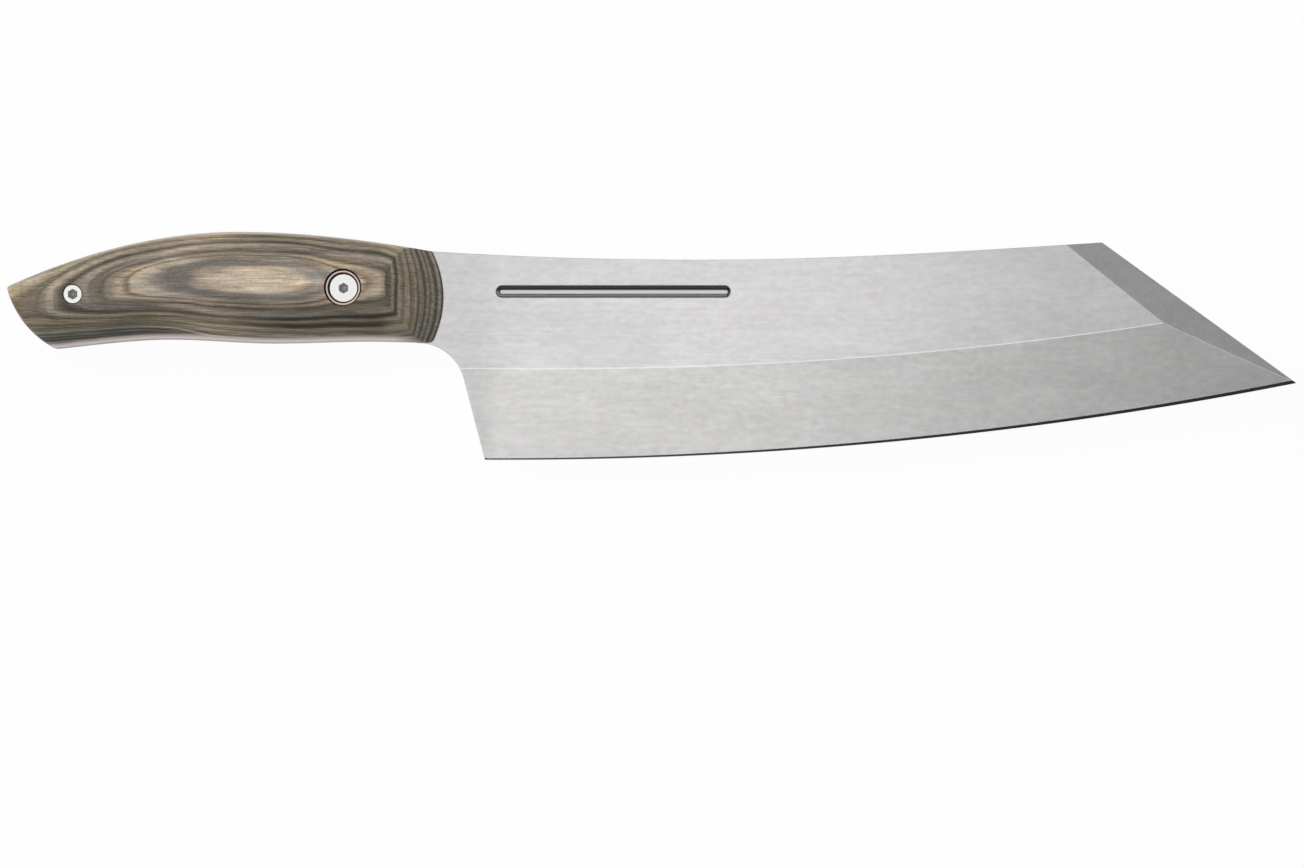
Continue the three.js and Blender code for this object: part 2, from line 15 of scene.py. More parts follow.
import bpy
import numpy as np
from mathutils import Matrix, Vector


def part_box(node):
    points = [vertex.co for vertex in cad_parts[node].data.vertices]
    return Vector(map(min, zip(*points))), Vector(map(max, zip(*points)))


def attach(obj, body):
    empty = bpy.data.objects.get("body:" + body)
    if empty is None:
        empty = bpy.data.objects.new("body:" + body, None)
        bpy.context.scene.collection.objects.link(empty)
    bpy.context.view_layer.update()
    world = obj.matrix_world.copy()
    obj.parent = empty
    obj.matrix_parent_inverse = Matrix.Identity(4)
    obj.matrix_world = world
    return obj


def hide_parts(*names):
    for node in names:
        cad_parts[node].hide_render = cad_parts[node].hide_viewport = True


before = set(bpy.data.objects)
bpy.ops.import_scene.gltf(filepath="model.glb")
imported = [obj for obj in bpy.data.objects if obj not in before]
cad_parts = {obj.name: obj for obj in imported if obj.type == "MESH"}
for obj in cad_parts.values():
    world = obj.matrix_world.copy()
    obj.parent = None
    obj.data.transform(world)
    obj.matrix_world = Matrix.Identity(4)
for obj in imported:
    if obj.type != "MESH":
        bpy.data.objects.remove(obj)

log = logging.getLogger("bunka")

MM = 0.001
OVERCUT = 5.0  # how far a tool runs past what it cuts
WELD = 1e-4  # points nearer than this are one
CORNER_MARGIN = 0.02  # least distance between a rounded corner and the next point of its side
PATTERN = (0.3, 0.7)  # values between which most of a noise pattern lies
WHITE = (1, 1, 1, 1)
UNDERSIDE_STRIDE = 4  # every so many points of the handle's lower line go into the wood's material

Thing = bpy.types.Object
Material = bpy.types.Material
Socket = bpy.types.NodeSocket
Values = np.ndarray
Points = np.ndarray
Pair = tuple[float, float]
Triple = tuple[float, float, float]
Rgb = tuple[int, int, int]
Stops = tuple[Pair, ...]
Line = Callable[[Values], tuple[Values, Values]]


class Side(Enum):
    """The two sides of the handle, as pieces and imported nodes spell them."""

    RIGHT = "right"
    LEFT = "left"


class Place(Enum):
    """The two fasteners along the handle."""

    FRONT = "front"
    REAR = "rear"


class Slot(Enum):
    """Names of the record's material slots for the modelled pieces."""

    BLADE = "blade_steel"
    WOOD = "laminated_wood"
    COLLAR = "collar_steel"
    SCREW = "screw_steel"


# Modelling by operators.


def deselect() -> None:
    """Leaves edit mode and deselects every object."""
    if bpy.context.mode != "OBJECT":
        bpy.ops.object.mode_set(mode="OBJECT")
    bpy.ops.object.select_all(action="DESELECT")


def take(piece: Thing) -> None:
    """Makes one object the active one, and the only one that is selected.

    Args:
        piece: The object.
    """
    deselect()
    piece.select_set(True)
    bpy.context.view_layer.objects.active = piece


def edit(piece: Thing) -> None:
    """Opens a piece in edit mode with all of its mesh selected.

    Args:
        piece: The piece.
    """
    take(piece)
    bpy.ops.object.mode_set(mode="EDIT")
    bpy.ops.mesh.select_all(action="SELECT")


def named(name: str) -> Thing:
    """Names the object just added, and its mesh.

    Args:
        name: The new name.

    Returns:
        The object.
    """
    piece = bpy.context.active_object
    piece.name = piece.data.name = name
    return piece


def extrude(way: Sequence[float]) -> None:
    """Extrudes what is selected in the open mesh."""
    bpy.ops.mesh.extrude_region_move(TRANSFORM_OT_translate={"value": way})


def tidy_mesh(merge: float = 0.0) -> None:
    """Turns the open mesh's faces outwards and closes it.

    Args:
        merge: Distance below which points are merged first, or 0.
    """
    bpy.ops.mesh.select_all(action="SELECT")
    if merge > 0:
        bpy.ops.mesh.remove_doubles(threshold=merge)
    bpy.ops.mesh.normals_make_consistent(inside=False)
    bpy.ops.object.mode_set(mode="OBJECT")


def shift(piece: Thing, way: Sequence[float]) -> None:
    """Moves a piece's mesh.

    Args:
        piece: The piece.
        way: How far it moves along X, Y and Z.
    """
    edit(piece)
    bpy.ops.transform.translate(value=way)
    bpy.ops.object.mode_set(mode="OBJECT")


def replace_points(piece: Thing, place: Callable[[Points], Points]) -> None:
    """Gives every point of a piece's mesh a new place.

    Args:
        piece: The piece.
        place: Gives the new places from the old ones.
    """
    flat = np.empty(len(piece.data.vertices) * 3)
    piece.data.vertices.foreach_get("co", flat)
    piece.data.vertices.foreach_set("co", place(flat.reshape(-1, 3)).ravel())
    piece.data.update()


def trace(name: str, points: Iterable[Sequence[float]], closed: bool = False) -> Thing:
    """Draws a line by extruding one vertex from point to point.

    Args:
        name: Name of the new object.
        points: Points of the line.
        closed: Whether the line is closed and filled with a face.

    Returns:
        The new object, left in edit mode with all of its mesh selected.
    """
    stops = [Vector(tuple(point)) for point in points]
    deselect()
    bpy.ops.mesh.primitive_plane_add(size=1.0)
    piece = named(name)
    edit(piece)
    bpy.ops.mesh.merge(type="CENTER")
    bpy.ops.transform.translate(value=stops[0])
    for here, there in zip(stops, stops[1:]):
        extrude(there - here)
    bpy.ops.mesh.select_all(action="SELECT")
    if closed:
        bpy.ops.mesh.edge_face_add()
    return piece


def prism(name: str, outline: Points, bottom: float, top: float) -> Thing:
    """Extrudes a filled outline.

    Args:
        name: Name of the new object.
        outline: Corners of the outline in order.
        bottom: Height of the lower face.
        top: Height of the upper face.

    Returns:
        The closed solid.
    """
    piece = trace(name, [(x, y, bottom) for x, y in outline], closed=True)
    extrude((0, 0, top - bottom))
    tidy_mesh()
    return piece


def sheet_solid(
    name: str, cells: tuple[int, int], place: Callable[[Values, Values], Points], rise: float
) -> Thing:
    """Shapes a grid into a curved face and gives it a body of one thickness.

    Args:
        name: Name of the new object.
        cells: Cells of the grid along its two ways.
        place: Gives the place of each point from its shares of the two ways.
        rise: How far the body is extruded along Z.

    Returns:
        The solid, left in edit mode with its far face selected.
    """
    deselect()
    bpy.ops.mesh.primitive_grid_add(x_subdivisions=cells[0], y_subdivisions=cells[1], size=1.0)
    piece = named(name)
    replace_points(piece, lambda old: place(old[:, 0] + 0.5, old[:, 1] + 0.5))
    edit(piece)
    extrude((0, 0, rise))
    return piece


def spun(name: str, profile: Iterable[Pair], steps: int) -> Thing:
    """Turns a profile of radii and heights about Z.

    Args:
        name: Name of the new object.
        profile: Radius and height of each point in order.
        steps: Steps of the full turn.

    Returns:
        The closed turned solid.
    """
    piece = trace(name, [(radius, 0, z) for radius, z in profile])
    bpy.ops.mesh.spin(steps=steps, angle=math.tau, center=(0, 0, 0), axis=(0, 0, 1))
    tidy_mesh(merge=WELD)
    return piece


def drum(name: str, diameter: float, levels: Pair, at: Pair, sides: int) -> Thing:
    """Adds an upright cylinder for a cut.

    Args:
        name: Name of the new object.
        diameter: Across its corners.
        levels: Heights of its lower and its upper end.
        at: Place of its axis.
        sides: Number of sides.

    Returns:
        The cylinder.
    """
    deselect()
    bpy.ops.mesh.primitive_cylinder_add(
        vertices=sides, radius=diameter / 2, depth=levels[1] - levels[0], location=(*at, sum(levels) / 2)
    )
    return named(name)


def dressed(piece: Thing, material: Material) -> Thing:
    """Gives a piece one more material."""
    piece.data.materials.append(material)
    return piece


def modify(piece: Thing, kind: str, **settings: Any) -> None:
    """Adds a modifier to a piece and applies it.

    Args:
        piece: The piece.
        kind: The modifier's type.
        settings: The modifier's settings.
    """
    modifier = piece.modifiers.new(kind.lower(), kind)
    for key, value in settings.items():
        setattr(modifier, key, value)
    take(piece)
    bpy.ops.object.modifier_apply(modifier=modifier.name)


def cut(piece: Thing, tool: Thing) -> None:
    """Cuts a tool out of a piece, leaves the tool's finish on the cut, and removes the tool.

    Args:
        piece: The piece.
        tool: The tool, with or without a finish.
    """
    mode = "TRANSFER" if tool.data.materials else "INDEX"
    modify(piece, "BOOLEAN", operation="DIFFERENCE", solver="EXACT", material_mode=mode, object=tool)
    bpy.data.objects.remove(tool)


def soften(piece: Thing, width: float, segments: int, angle: float) -> None:
    """Rounds the edges of a piece at which its faces turn by more than an angle in degrees."""
    limit = math.radians(angle)
    modify(piece, "BEVEL", width=width, segments=segments, limit_method="ANGLE", angle_limit=limit)


def shade(piece: Thing, angle: float) -> None:
    """Shades a piece smooth across edges below an angle in degrees."""
    take(piece)
    bpy.ops.object.shade_smooth_by_angle(angle=math.radians(angle))


def copied(piece: Thing, name: str) -> Thing:
    """Copies a piece with a mesh of its own.

    Args:
        piece: The piece to copy.
        name: Name of the copy.

    Returns:
        The copy.
    """
    take(piece)
    bpy.ops.object.duplicate()
    return named(name)


def flipped(piece: Thing, name: str) -> Thing:
    """Copies a piece, mirrored through the middle of the steel.

    Args:
        piece: The piece to copy.
        name: Name of the copy.

    Returns:
        The mirrored copy with its faces outwards.
    """
    copy = copied(piece, name)
    edit(copy)
    bpy.ops.transform.mirror(constraint_axis=(False, False, True), center_override=(0, 0, 0))
    tidy_mesh()
    return copy


# Curves in the plane of the blade.


def lerp(a: Any, b: Any, share: Any) -> Any:
    """A value on the way from one to another."""
    return a + (b - a) * share


def unit(vector: Values) -> Values:
    """A vector's direction."""
    return vector / np.linalg.norm(vector)


def heading(angle: float) -> Values:
    """Unit vector at an angle in degrees."""
    return np.array([math.cos(math.radians(angle)), math.sin(math.radians(angle))])


def sweep(start: Points, start_angle: float, end: Points, end_angle: float, steps: int) -> Points:
    """Runs a smooth curve between two points with given slopes.

    Args:
        start: First point.
        start_angle: Slope there, in degrees.
        end: Last point.
        end_angle: Slope there, in degrees.
        steps: Steps along the curve.

    Returns:
        Points along the curve.
    """
    reach = np.linalg.norm(end - start) / 3
    leaving = start + heading(start_angle) * reach
    arriving = end - heading(end_angle) * reach
    t = np.linspace(0, 1, steps + 1)[:, None]
    s = 1 - t
    return s**3 * start + 3 * s * s * t * leaving + 3 * s * t * t * arriving + t**3 * end


def wave(knots: Points, steps: int) -> Points:
    """Runs an even curve through knots.

    Args:
        knots: Points to pass through.
        steps: Steps between one knot and the next.

    Returns:
        Points along the curve.
    """
    padded = np.vstack([knots[:1], knots, knots[-1:]])
    t = np.linspace(0, 1, steps, endpoint=False)[:, None]
    spans = []
    for p0, p1, p2, p3 in zip(padded, padded[1:], padded[2:], padded[3:]):
        leaving, arriving = (p2 - p0) / 2, (p3 - p1) / 2
        cubic = (2 * p1 - 2 * p2 + leaving + arriving) * t**3
        spans.append(cubic + (3 * p2 - 3 * p1 - 2 * leaving - arriving) * t**2 + leaving * t + p1)
    return np.vstack([*spans, knots[-1:]])


def rounding(before: Points, corner: Points, after: Points, radius: float, steps: int) -> Points:
    """Rounds the corner between two straight lines.

    Args:
        before: A point on the first line.
        corner: Where the lines meet.
        after: A point on the second line.
        radius: Radius of the rounding.
        steps: Steps along it.

    Returns:
        Points from the first line to the second.
    """
    back, ahead = unit(before - corner), unit(after - corner)
    half = math.acos(float(back @ ahead)) / 2
    centre = corner + unit(back + ahead) * radius / math.sin(half)
    arm = corner + back * radius / math.tan(half) - centre
    side = math.copysign(1, back[0] * ahead[1] - back[1] * ahead[0])
    turns = -side * (math.pi - 2 * half) * np.linspace(0, 1, steps + 1)
    x = arm[0] * np.cos(turns) - arm[1] * np.sin(turns)
    y = arm[0] * np.sin(turns) + arm[1] * np.cos(turns)
    return np.column_stack([x, y]) + centre


def clear_of(points: Points, arc: Points, corner: Points) -> Points:
    """Leaves out the points of a line that a rounded corner takes the place of."""
    reach = np.linalg.norm(arc[0] - corner) + CORNER_MARGIN
    return points[np.linalg.norm(points - corner, axis=1) > reach]


def along(points: Points, share: Values) -> Points:
    """Finds places on a line.

    Args:
        points: Points of the line.
        share: Shares of its length.

    Returns:
        The places.
    """
    lengths = np.concatenate([[0], np.cumsum(np.linalg.norm(np.diff(points, axis=0), axis=1))])
    at = share * lengths[-1]
    return np.column_stack([np.interp(at, lengths, points[:, 0]), np.interp(at, lengths, points[:, 1])])


# Finishes.


def linear(colour: Rgb) -> tuple[float, float, float, float]:
    """Turns a written colour of 0 to 255 into the renderer's linear one."""
    shares = [channel / 255 for channel in colour]
    return (*(c / 12.92 if c <= 0.04045 else ((c + 0.055) / 1.055) ** 2.4 for c in shares), 1.0)


class Graph:
    """The nodes of one material, or of the world."""

    def __init__(self, owner: Any, output: str = "ShaderNodeOutputMaterial") -> None:
        """Empties the tree of a new material or world and adds its output.

        Args:
            owner: The material or world.
            output: Type of the output node.
        """
        owner.use_nodes = True
        self.owner, self.tree = owner, owner.node_tree
        self.tree.nodes.clear()
        self.output = self.add(output)

    def add(self, kind: str, inputs: dict[Any, Any] | None = None, **settings: Any) -> bpy.types.Node:
        """Adds a node.

        Args:
            kind: The node's type.
            inputs: Value of each input by name or number, or the output that is linked to it.
            settings: The node's own settings.

        Returns:
            The node.
        """
        node = self.tree.nodes.new(kind)
        for key, value in settings.items():
            setattr(node, key, value)
        for key, value in (inputs or {}).items():
            if isinstance(value, Socket):
                self.tree.links.new(value, node.inputs[key])
            else:
                node.inputs[key].default_value = value
        return node

    def math(self, operation: str, value: Any, *others: Any) -> Socket:
        """Adds arithmetic.

        Args:
            operation: The operation.
            value: Its first value, or its only one.
            others: The values that follow, with a step for each.

        Returns:
            The result.
        """
        for step in [{1: other} for other in others] or [{}]:
            value = self.add("ShaderNodeMath", {0: value, **step}, operation=operation).outputs[0]
        return value

    def vector(self, operation: str, first: Any, second: Any) -> Socket:
        """Adds one step of arithmetic on vectors or colours."""
        return self.add("ShaderNodeVectorMath", {0: first, 1: second}, operation=operation).outputs[0]

    def scaled(self, vector: Any, factor: Any) -> Socket:
        """Multiplies a vector or a colour by a number."""
        return self.add("ShaderNodeVectorMath", {0: vector, "Scale": factor}, operation="SCALE").outputs[0]

    def mixed(self, share: Any, first: Any, second: Any) -> Socket:
        """Mixes two numbers."""
        return self.add("ShaderNodeMix", {0: share, 2: first, 3: second}).outputs[0]

    def blended(self, share: Any, first: Any, second: Any) -> Socket:
        """Mixes two colours."""
        return self.add("ShaderNodeMix", {0: share, 6: first, 7: second}, data_type="RGBA").outputs[2]

    def split(self, vector: Any) -> Any:
        """Gives a vector's three parts."""
        return self.add("ShaderNodeSeparateXYZ", {0: vector}).outputs

    def place(self) -> Socket:
        """Gives the place on the piece in millimetres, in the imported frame."""
        return self.scaled(self.add("ShaderNodeTexCoord").outputs["Object"], 1 / MM)

    def leaning(self) -> Any:
        """Gives how far the face leans to the tip, to the spine and upwards."""
        return self.split(self.add("ShaderNodeNewGeometry").outputs["Normal"])

    def noise(self, place: Socket, pitch: Triple, detail: float = 3.0, shift: float = 0.0) -> Socket:
        """Adds a noise pattern.

        Args:
            place: Where the pattern is read, in millimetres.
            pitch: Size of its grain along X, Y and Z, in millimetres.
            detail: Its finer layers.
            shift: How far it is moved, to tell one pattern from another.

        Returns:
            The pattern's value, about 0.5 on the average.
        """
        scale = tuple(1 / step for step in pitch)
        moved = self.add("ShaderNodeMapping", {"Vector": place, "Location": (shift,) * 3, "Scale": scale})
        inputs = {"Vector": moved.outputs[0], "Scale": 1.0, "Detail": detail, "Roughness": 0.55}
        return self.add("ShaderNodeTexNoise", inputs).outputs[0]

    def between(self, value: Any, source: Pair, target: Pair, interpolation: str = "LINEAR") -> Socket:
        """Maps a value from one range onto another, and keeps it inside."""
        limits = dict(enumerate((value, *source, *target)))
        return self.add("ShaderNodeMapRange", limits, interpolation_type=interpolation).outputs[0]

    def about_one(self, pattern: Socket, spread: float, source: Pair = PATTERN) -> Socket:
        """Turns a pattern into a factor that differs from 1 by no more than a spread."""
        return self.between(pattern, source, (1 - spread, 1 + spread))

    def ramp(
        self, value: Any, span: Pair, stops: Sequence[tuple[float, Sequence[float]]], kind: str = "LINEAR"
    ) -> Socket:
        """Lays a band of colours over a range.

        Args:
            value: Place that the band is read at.
            span: The range.
            stops: Places in order, each with its colour.
            kind: How the colours run into each other.

        Returns:
            The colour there.
        """
        node = self.add("ShaderNodeValToRGB", {0: self.between(value, span, (0, 1))})
        band = node.color_ramp
        band.interpolation = kind
        while len(band.elements) < len(stops):
            band.elements.new(1.0)
        for element, (at, colour) in zip(band.elements, stops):
            element.position = (at - span[0]) / (span[1] - span[0])
            element.color = colour
        return node.outputs[0]

    def curve(self, value: Any, stops: Stops) -> Socket:
        """Runs a smooth curve through pairs of places and values.

        Args:
            value: Place that the curve is read at.
            stops: Places in order, each with its value.

        Returns:
            The curve's value there.
        """
        peak = max(height for _, height in stops)
        greys = [(at, (height / peak,) * 3 + (1,)) for at, height in stops]
        return self.math("MULTIPLY", self.ramp(value, (stops[0][0], stops[-1][0]), greys, "CARDINAL"), peak)

    def toned(self, tone: Rgb, factor: Any) -> Socket:
        """Multiplies a written colour by a number."""
        channels = dict(zip(("Red", "Green", "Blue"), linear(tone)))
        return self.scaled(self.add("ShaderNodeCombineColor", channels).outputs[0], factor)

    def relief(self, height: Socket, strength: float, depth: float) -> Socket:
        """Raises a pattern out of the surface, by a depth in millimetres."""
        inputs = {"Strength": strength, "Distance": depth * MM, "Height": height}
        return self.add("ShaderNodeBump", inputs).outputs[0]

    def surface(self, inputs: dict[str, Any]) -> Material:
        """Ends the material with one shader."""
        return self.finish(self.add("ShaderNodeBsdfPrincipled", inputs).outputs[0])

    def metal(self, colour: Socket, marks: Socket, rough: Pair, relief: Pair) -> Material:
        """Ends the material as a metal with tool marks.

        Args:
            colour: The metal's colour.
            marks: Pattern of its marks.
            rough: Roughness where the marks are weakest and strongest.
            relief: Strength and depth of the marks.

        Returns:
            The material.
        """
        return self.surface(
            {
                "Base Color": colour,
                "Metallic": 1.0,
                "Roughness": self.between(marks, PATTERN, rough),
                "Normal": self.relief(marks, *relief),
            }
        )

    def finish(self, shader: Socket) -> Any:
        """Wires the shader to the output and gives the material or world."""
        self.tree.links.new(shader, self.output.inputs["Surface"])
        return self.owner


@dataclass(frozen=True)
class SatinSteel:
    """Steel finished with a belt and a tumbler: faint streaks, a soft mottle, and painted shade in its tone.
    """

    name: str
    tone: Rgb
    roughness: float = 0.36
    mottle: float = 0.05
    streaks: float = 0.04
    cross: float = 0.2  # share of the streaks that run across the knife
    swing: Pair = (-0.04, 0.05)  # what the marks take from the roughness and add to it
    bump: float = 0.06
    bump_depth: float = 0.01
    streak_pitch: Triple = (16.0, 0.5, 0.5)
    cross_pitch: Triple = (0.5, 9.0, 0.5)
    cloud_pitch: Triple = (2.4, 1.3, 1.3)
    patch_pitch: Triple = (26.0, 9.0, 9.0)
    streak_span: Pair = (0.35, 0.65)
    # The cast and the two lean curves paint shade and highlight into the tone, along the knife and by how far
    # each face leans.
    cast: Stops = ((-171.0, 1.0), (171.0, 1.0))  # place along X, and its share of the tone
    spine_lean_shading: Stops = ((-1.0, 1.0), (1.0, 1.0))  # how far the face leans to the spine, and its share of the tone
    tip_lean_shading: Stops = ((-1.0, 1.0), (1.0, 1.0))  # how far it leans to the tip, and its share of the tone

    def material(self) -> Material:
        """Builds the finish's material, or finds it when it is there.

        Returns:
            The material.
        """
        if self.name in bpy.data.materials:
            return bpy.data.materials[self.name]
        graph = Graph(bpy.data.materials.new(self.name))
        place = graph.place()
        streak = graph.noise(place, self.streak_pitch, detail=4)
        cross = graph.noise(place, self.cross_pitch, detail=4, shift=31)
        cloud = graph.noise(place, self.cloud_pitch, detail=4, shift=57)
        patch = graph.noise(place, self.patch_pitch, detail=2, shift=83)
        lines = graph.mixed(self.cross, streak, cross)
        brushed = graph.about_one(lines, self.streaks, self.streak_span)
        clouded = graph.about_one(cloud, self.mottle)
        share = graph.math("MULTIPLY", brushed, clouded, graph.about_one(patch, self.mottle / 2))
        to_tip, to_spine, _ = graph.leaning()
        # Painted shade and highlight: the tone changes along the knife and with how far each face leans.
        for value, stops in ((graph.split(place)[0], self.cast), (to_spine, self.spine_lean_shading), (to_tip, self.tip_lean_shading)):
            share = graph.math("MULTIPLY", share, graph.curve(value, stops))
        rough = (self.roughness + self.swing[0], self.roughness + self.swing[1])
        return graph.metal(graph.toned(self.tone, share), lines, rough, (self.bump, self.bump_depth))


@dataclass(frozen=True)
class TurnedSteel:
    """Steel faced on a lathe, with fine rings about the fastener's axis."""

    name: str
    tone: Rgb
    roughness: float = 0.3
    swing: Pair = (-0.04, 0.06)  # what the marks take from the roughness and add to it
    rings: float = 0.05
    ring_pitch: float = 0.35
    specks: float = 0.35  # share of the marks that are specks and not rings
    speck_pitch: Triple = (0.6, 0.6, 0.6)
    relief: Pair = (0.15, 0.008)

    def material(self, axis: Vector) -> Material:
        """Builds the finish's material.

        Args:
            axis: Place of the axis, in metres.

        Returns:
            The material.
        """
        graph = Graph(bpy.data.materials.new(self.name))
        place = graph.place()
        parts = graph.split(graph.vector("SUBTRACT", place, axis / MM))
        squares = (graph.math("MULTIPLY", part, part) for part in parts[:2])
        radius = graph.math("SQRT", graph.math("ADD", *squares))
        layers = {"W": graph.math("DIVIDE", radius, self.ring_pitch), "Scale": 1.0, "Detail": 2.0}
        ring = graph.add("ShaderNodeTexNoise", layers, noise_dimensions="1D").outputs[0]
        marks = graph.mixed(self.specks, ring, graph.noise(place, self.speck_pitch))
        colour = graph.toned(self.tone, graph.about_one(marks, self.rings))
        rough = (self.roughness + self.swing[0], self.roughness + self.swing[1])
        return graph.metal(colour, marks, rough, self.relief)


@dataclass(frozen=True)
class PaintedGapShade:
    """Painted shade: a dark colour laid into narrow gaps, where little light reaches."""

    name: str
    tone: Rgb
    roughness: float = 0.5
    mottle: float = 0.25
    pitch: Triple = (0.7, 0.7, 0.7)

    def material(self) -> Material:
        """Builds the finish's material.

        Returns:
            The material.
        """
        graph = Graph(bpy.data.materials.new(self.name))
        cloud = graph.noise(graph.place(), self.pitch)
        colour = graph.toned(self.tone, graph.about_one(cloud, self.mottle))
        return graph.surface({"Base Color": colour, "Roughness": self.roughness})


@dataclass(frozen=True)
class Stain:
    """Dark dye that has soaked into some of the plies along a part of the handle."""

    left: Stops  # depth in the plies, and the share of the light that the dye leaves there
    reach: tuple[float, float, float, float]  # where it starts, is full, fades and ends along the handle
    on_back: float = 0.0  # share of it on the back, where it is whole on the belly


@dataclass(frozen=True)
class Grain:
    """A noise pattern in the wood, with what it does there."""

    pitch: Triple
    detail: float
    shift: float
    effect: Pair  # what the weakest and the strongest of the pattern do
    span: Pair = PATTERN  # the pattern's values at these two


@dataclass(frozen=True)
class LaminatedWood:
    """Dyed veneers pressed into a block: thin plies that the carved crown cuts into contour lines.

    The plies follow the crown of the block, and press thinner or thicker along it on the back and belly.
    """

    name: str
    origin: Triple  # butt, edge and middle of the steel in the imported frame, in millimetres
    plies: tuple[tuple[float, Rgb], ...]  # depth that each ply reaches below the crown, and its dye
    underside: Stops  # height of the handle's lower line above the edge
    splits: Pair = (1.80, 4.35)  # depths at which the next ramp takes over
    seam: float = 0.05
    crown_from_butt: float = 64.0
    crown_radius: Pair = (590.0, 820.0)
    # Places along the handle, and how closely the plies are pressed together there.
    crown_press: Stops = (
        (0.0, 0.80), (5.0, 0.90), (9.5, 0.97), (13.0, 0.93), (20.0, 0.90), (24.3, 0.81), (31.4, 0.78),
        (46.0, 0.96), (64.0, 1.0), (77.0, 1.0), (86.0, 1.4), (92.0, 1.22), (96.0, 1.1), (100.0, 1.05),
        (116.0, 1.05),
    )
    back_press: Stops = (
        (0.0, 0.15), (5.0, 0.22), (10.0, 0.30), (13.0, 0.46), (18.0, 0.52), (24.0, 0.63), (34.0, 0.74),
        (43.0, 0.80), (64.0, 0.77), (90.0, 0.76), (98.0, 0.65), (101.5, 0.66), (104.0, 0.75), (107.0, 0.89),
        (116.0, 0.92),
    )
    belly_press: Stops = (
        (0.0, 0.85), (6.0, 1.10), (13.0, 1.33), (20.0, 1.40), (33.0, 1.46), (40.0, 1.36), (46.0, 1.22),
        (50.0, 1.09), (54.0, 0.98), (58.0, 0.94), (75.0, 0.90), (90.0, 0.83), (98.0, 0.80), (103.0, 0.83),
        (107.0, 0.90), (116.0, 0.92),
    )
    # Depth over which the contour lines turn round the ridge, and the ridge's height, along the handle.
    blunt: Stops = ((0.0, 0.3), (36.0, 0.3), (58.0, 0.06), (116.0, 0.06))
    ridge: Stops = ((0.0, 40.0), (10.0, 41.5), (30.0, 46.4), (61.0, 48.4), (90.0, 47.2), (116.0, 45.0))
    ridge_blend: Pair = (-1.5, 1.5)
    stains: tuple[Stain, ...] = (
        Stain(
            (
                (0.9, 1.0), (1.2, 0.88), (1.7, 0.88), (1.92, 0.42), (2.15, 0.66), (2.38, 0.54), (2.58, 0.24),
                (2.76, 0.13), (2.92, 0.32), (3.15, 0.82), (3.5, 1.0),
            ),
            (60.0, 76.0, 99.0, 104.0),
        ),
        Stain(
            (
                (1.3, 1.0), (1.5, 0.78), (1.75, 0.85), (2.1, 0.95), (2.9, 1.0), (3.2, 0.82), (3.6, 0.7),
                (3.9, 0.58), (4.15, 0.56), (4.35, 1.0), (4.55, 1.3), (4.75, 1.15), (4.95, 0.56), (5.1, 0.5),
                (5.4, 0.74), (5.85, 0.52), (6.1, 0.46), (6.4, 0.4), (6.8, 0.45), (7.2, 0.6),
            ),
            (5.0, 12.0, 46.0, 54.0),
        ),
        Stain(
            (
                (0.8, 1.0), (0.92, 0.76), (1.05, 0.72), (1.25, 0.62), (1.4, 0.72), (1.6, 0.98), (1.85, 0.84),
                (2.1, 1.0),
            ),
            (99.5, 101.5, 115.0, 120.0),
            on_back=1.0,
        ),
        Stain(
            ((0.3, 1.75), (0.75, 1.75), (1.0, 1.0), (1.4, 0.86), (5.0, 0.8)),
            (80.0, 92.0, 99.0, 101.5),
            on_back=1.0,
        ),
    )
    # Tone along the handle.
    cast: Stops = (
        (0.0, 1.2), (10.0, 1.06), (22.0, 1.03), (30.0, 0.97), (38.0, 1.03), (46.0, 1.28), (54.0, 1.27),
        (62.0, 1.06), (72.0, 0.97), (82.0, 0.96), (90.0, 1.02), (116.0, 0.98),
    )
    # The plies sway and fray by this much about their depth, and fine lines run along them.
    sway: Grain = Grain((34.0, 9.0, 20.0), 2, 11, (-0.08, 0.08), (0.0, 1.0))
    fray: Grain = Grain((6.0, 0.45, 0.8), 5, 3, (-0.05, 0.05), (0.0, 1.0))
    line_pitch: Triple = (40.0, 0.46, 60.0)  # along the handle, through the plies and up the handle
    line_span: Pair = (0.34, 0.66)
    line_effect: Pair = (0.58, 1.42)
    fibre: Grain = Grain((8.0, 0.40, 0.5), 5, 71, (0.58, 1.34), (0.26, 0.74))
    rough: Pair = (0.51, 0.41)  # roughness where the fibre is weakest and strongest
    streak: Grain = Grain((20.0, 1.1, 1.4), 3, 37, (0.84, 1.16))
    speck: Grain = Grain((0.8, 0.45, 0.45), 2, 91, (0.86, 1.14))
    pore: Grain = Grain((6.0, 0.34, 0.4), 2, 19, (0, 1), (0.27, 0.39))
    tint: Grain = Grain((26.0, 1.6, 1.6), 3, 43, (0, 1), (0.32, 0.68))
    pore_colour: tuple[float, ...] = (0.58, 0.47, 0.40, 1)
    tints: tuple[tuple[float, ...], ...] = ((1.05, 1.0, 0.945, 1), (0.965, 1.0, 1.085, 1))
    relief: Pair = (0.2, 0.02)
    # Colour of a painted sheen along the rims.
    sheen_colour: Rgb = (246, 233, 228)
    # Painted sheen by the distance in from the underside, and on the back by how far the face leans.
    belly_sheen: Stops = (
        (0.0, 0.3), (0.2, 0.42), (0.5, 1.0), (0.8, 0.86), (1.1, 0.62), (1.4, 0.36), (1.7, 0.12), (2.0, 0.0)
    )
    belly_sheen_end: Pair = (103.0, 110.0)  # where that painted sheen runs out towards the blade
    back_sheen: Stops = ((0.0, 0.0), (0.72, 0.0), (0.9, 0.22), (1.0, 0.38))
    # Painted shade under the belly and painted light on the back, by how far the face leans.
    lean_shading: Stops = (
        (-1.0, 0.8), (-0.5, 0.8), (-0.2, 0.87), (-0.04, 1.0), (0.04, 1.0), (0.25, 1.13), (1.0, 1.15)
    )

    def material(self) -> Material:
        """Builds the finish's material."""
        return WoodNodes(self).material()


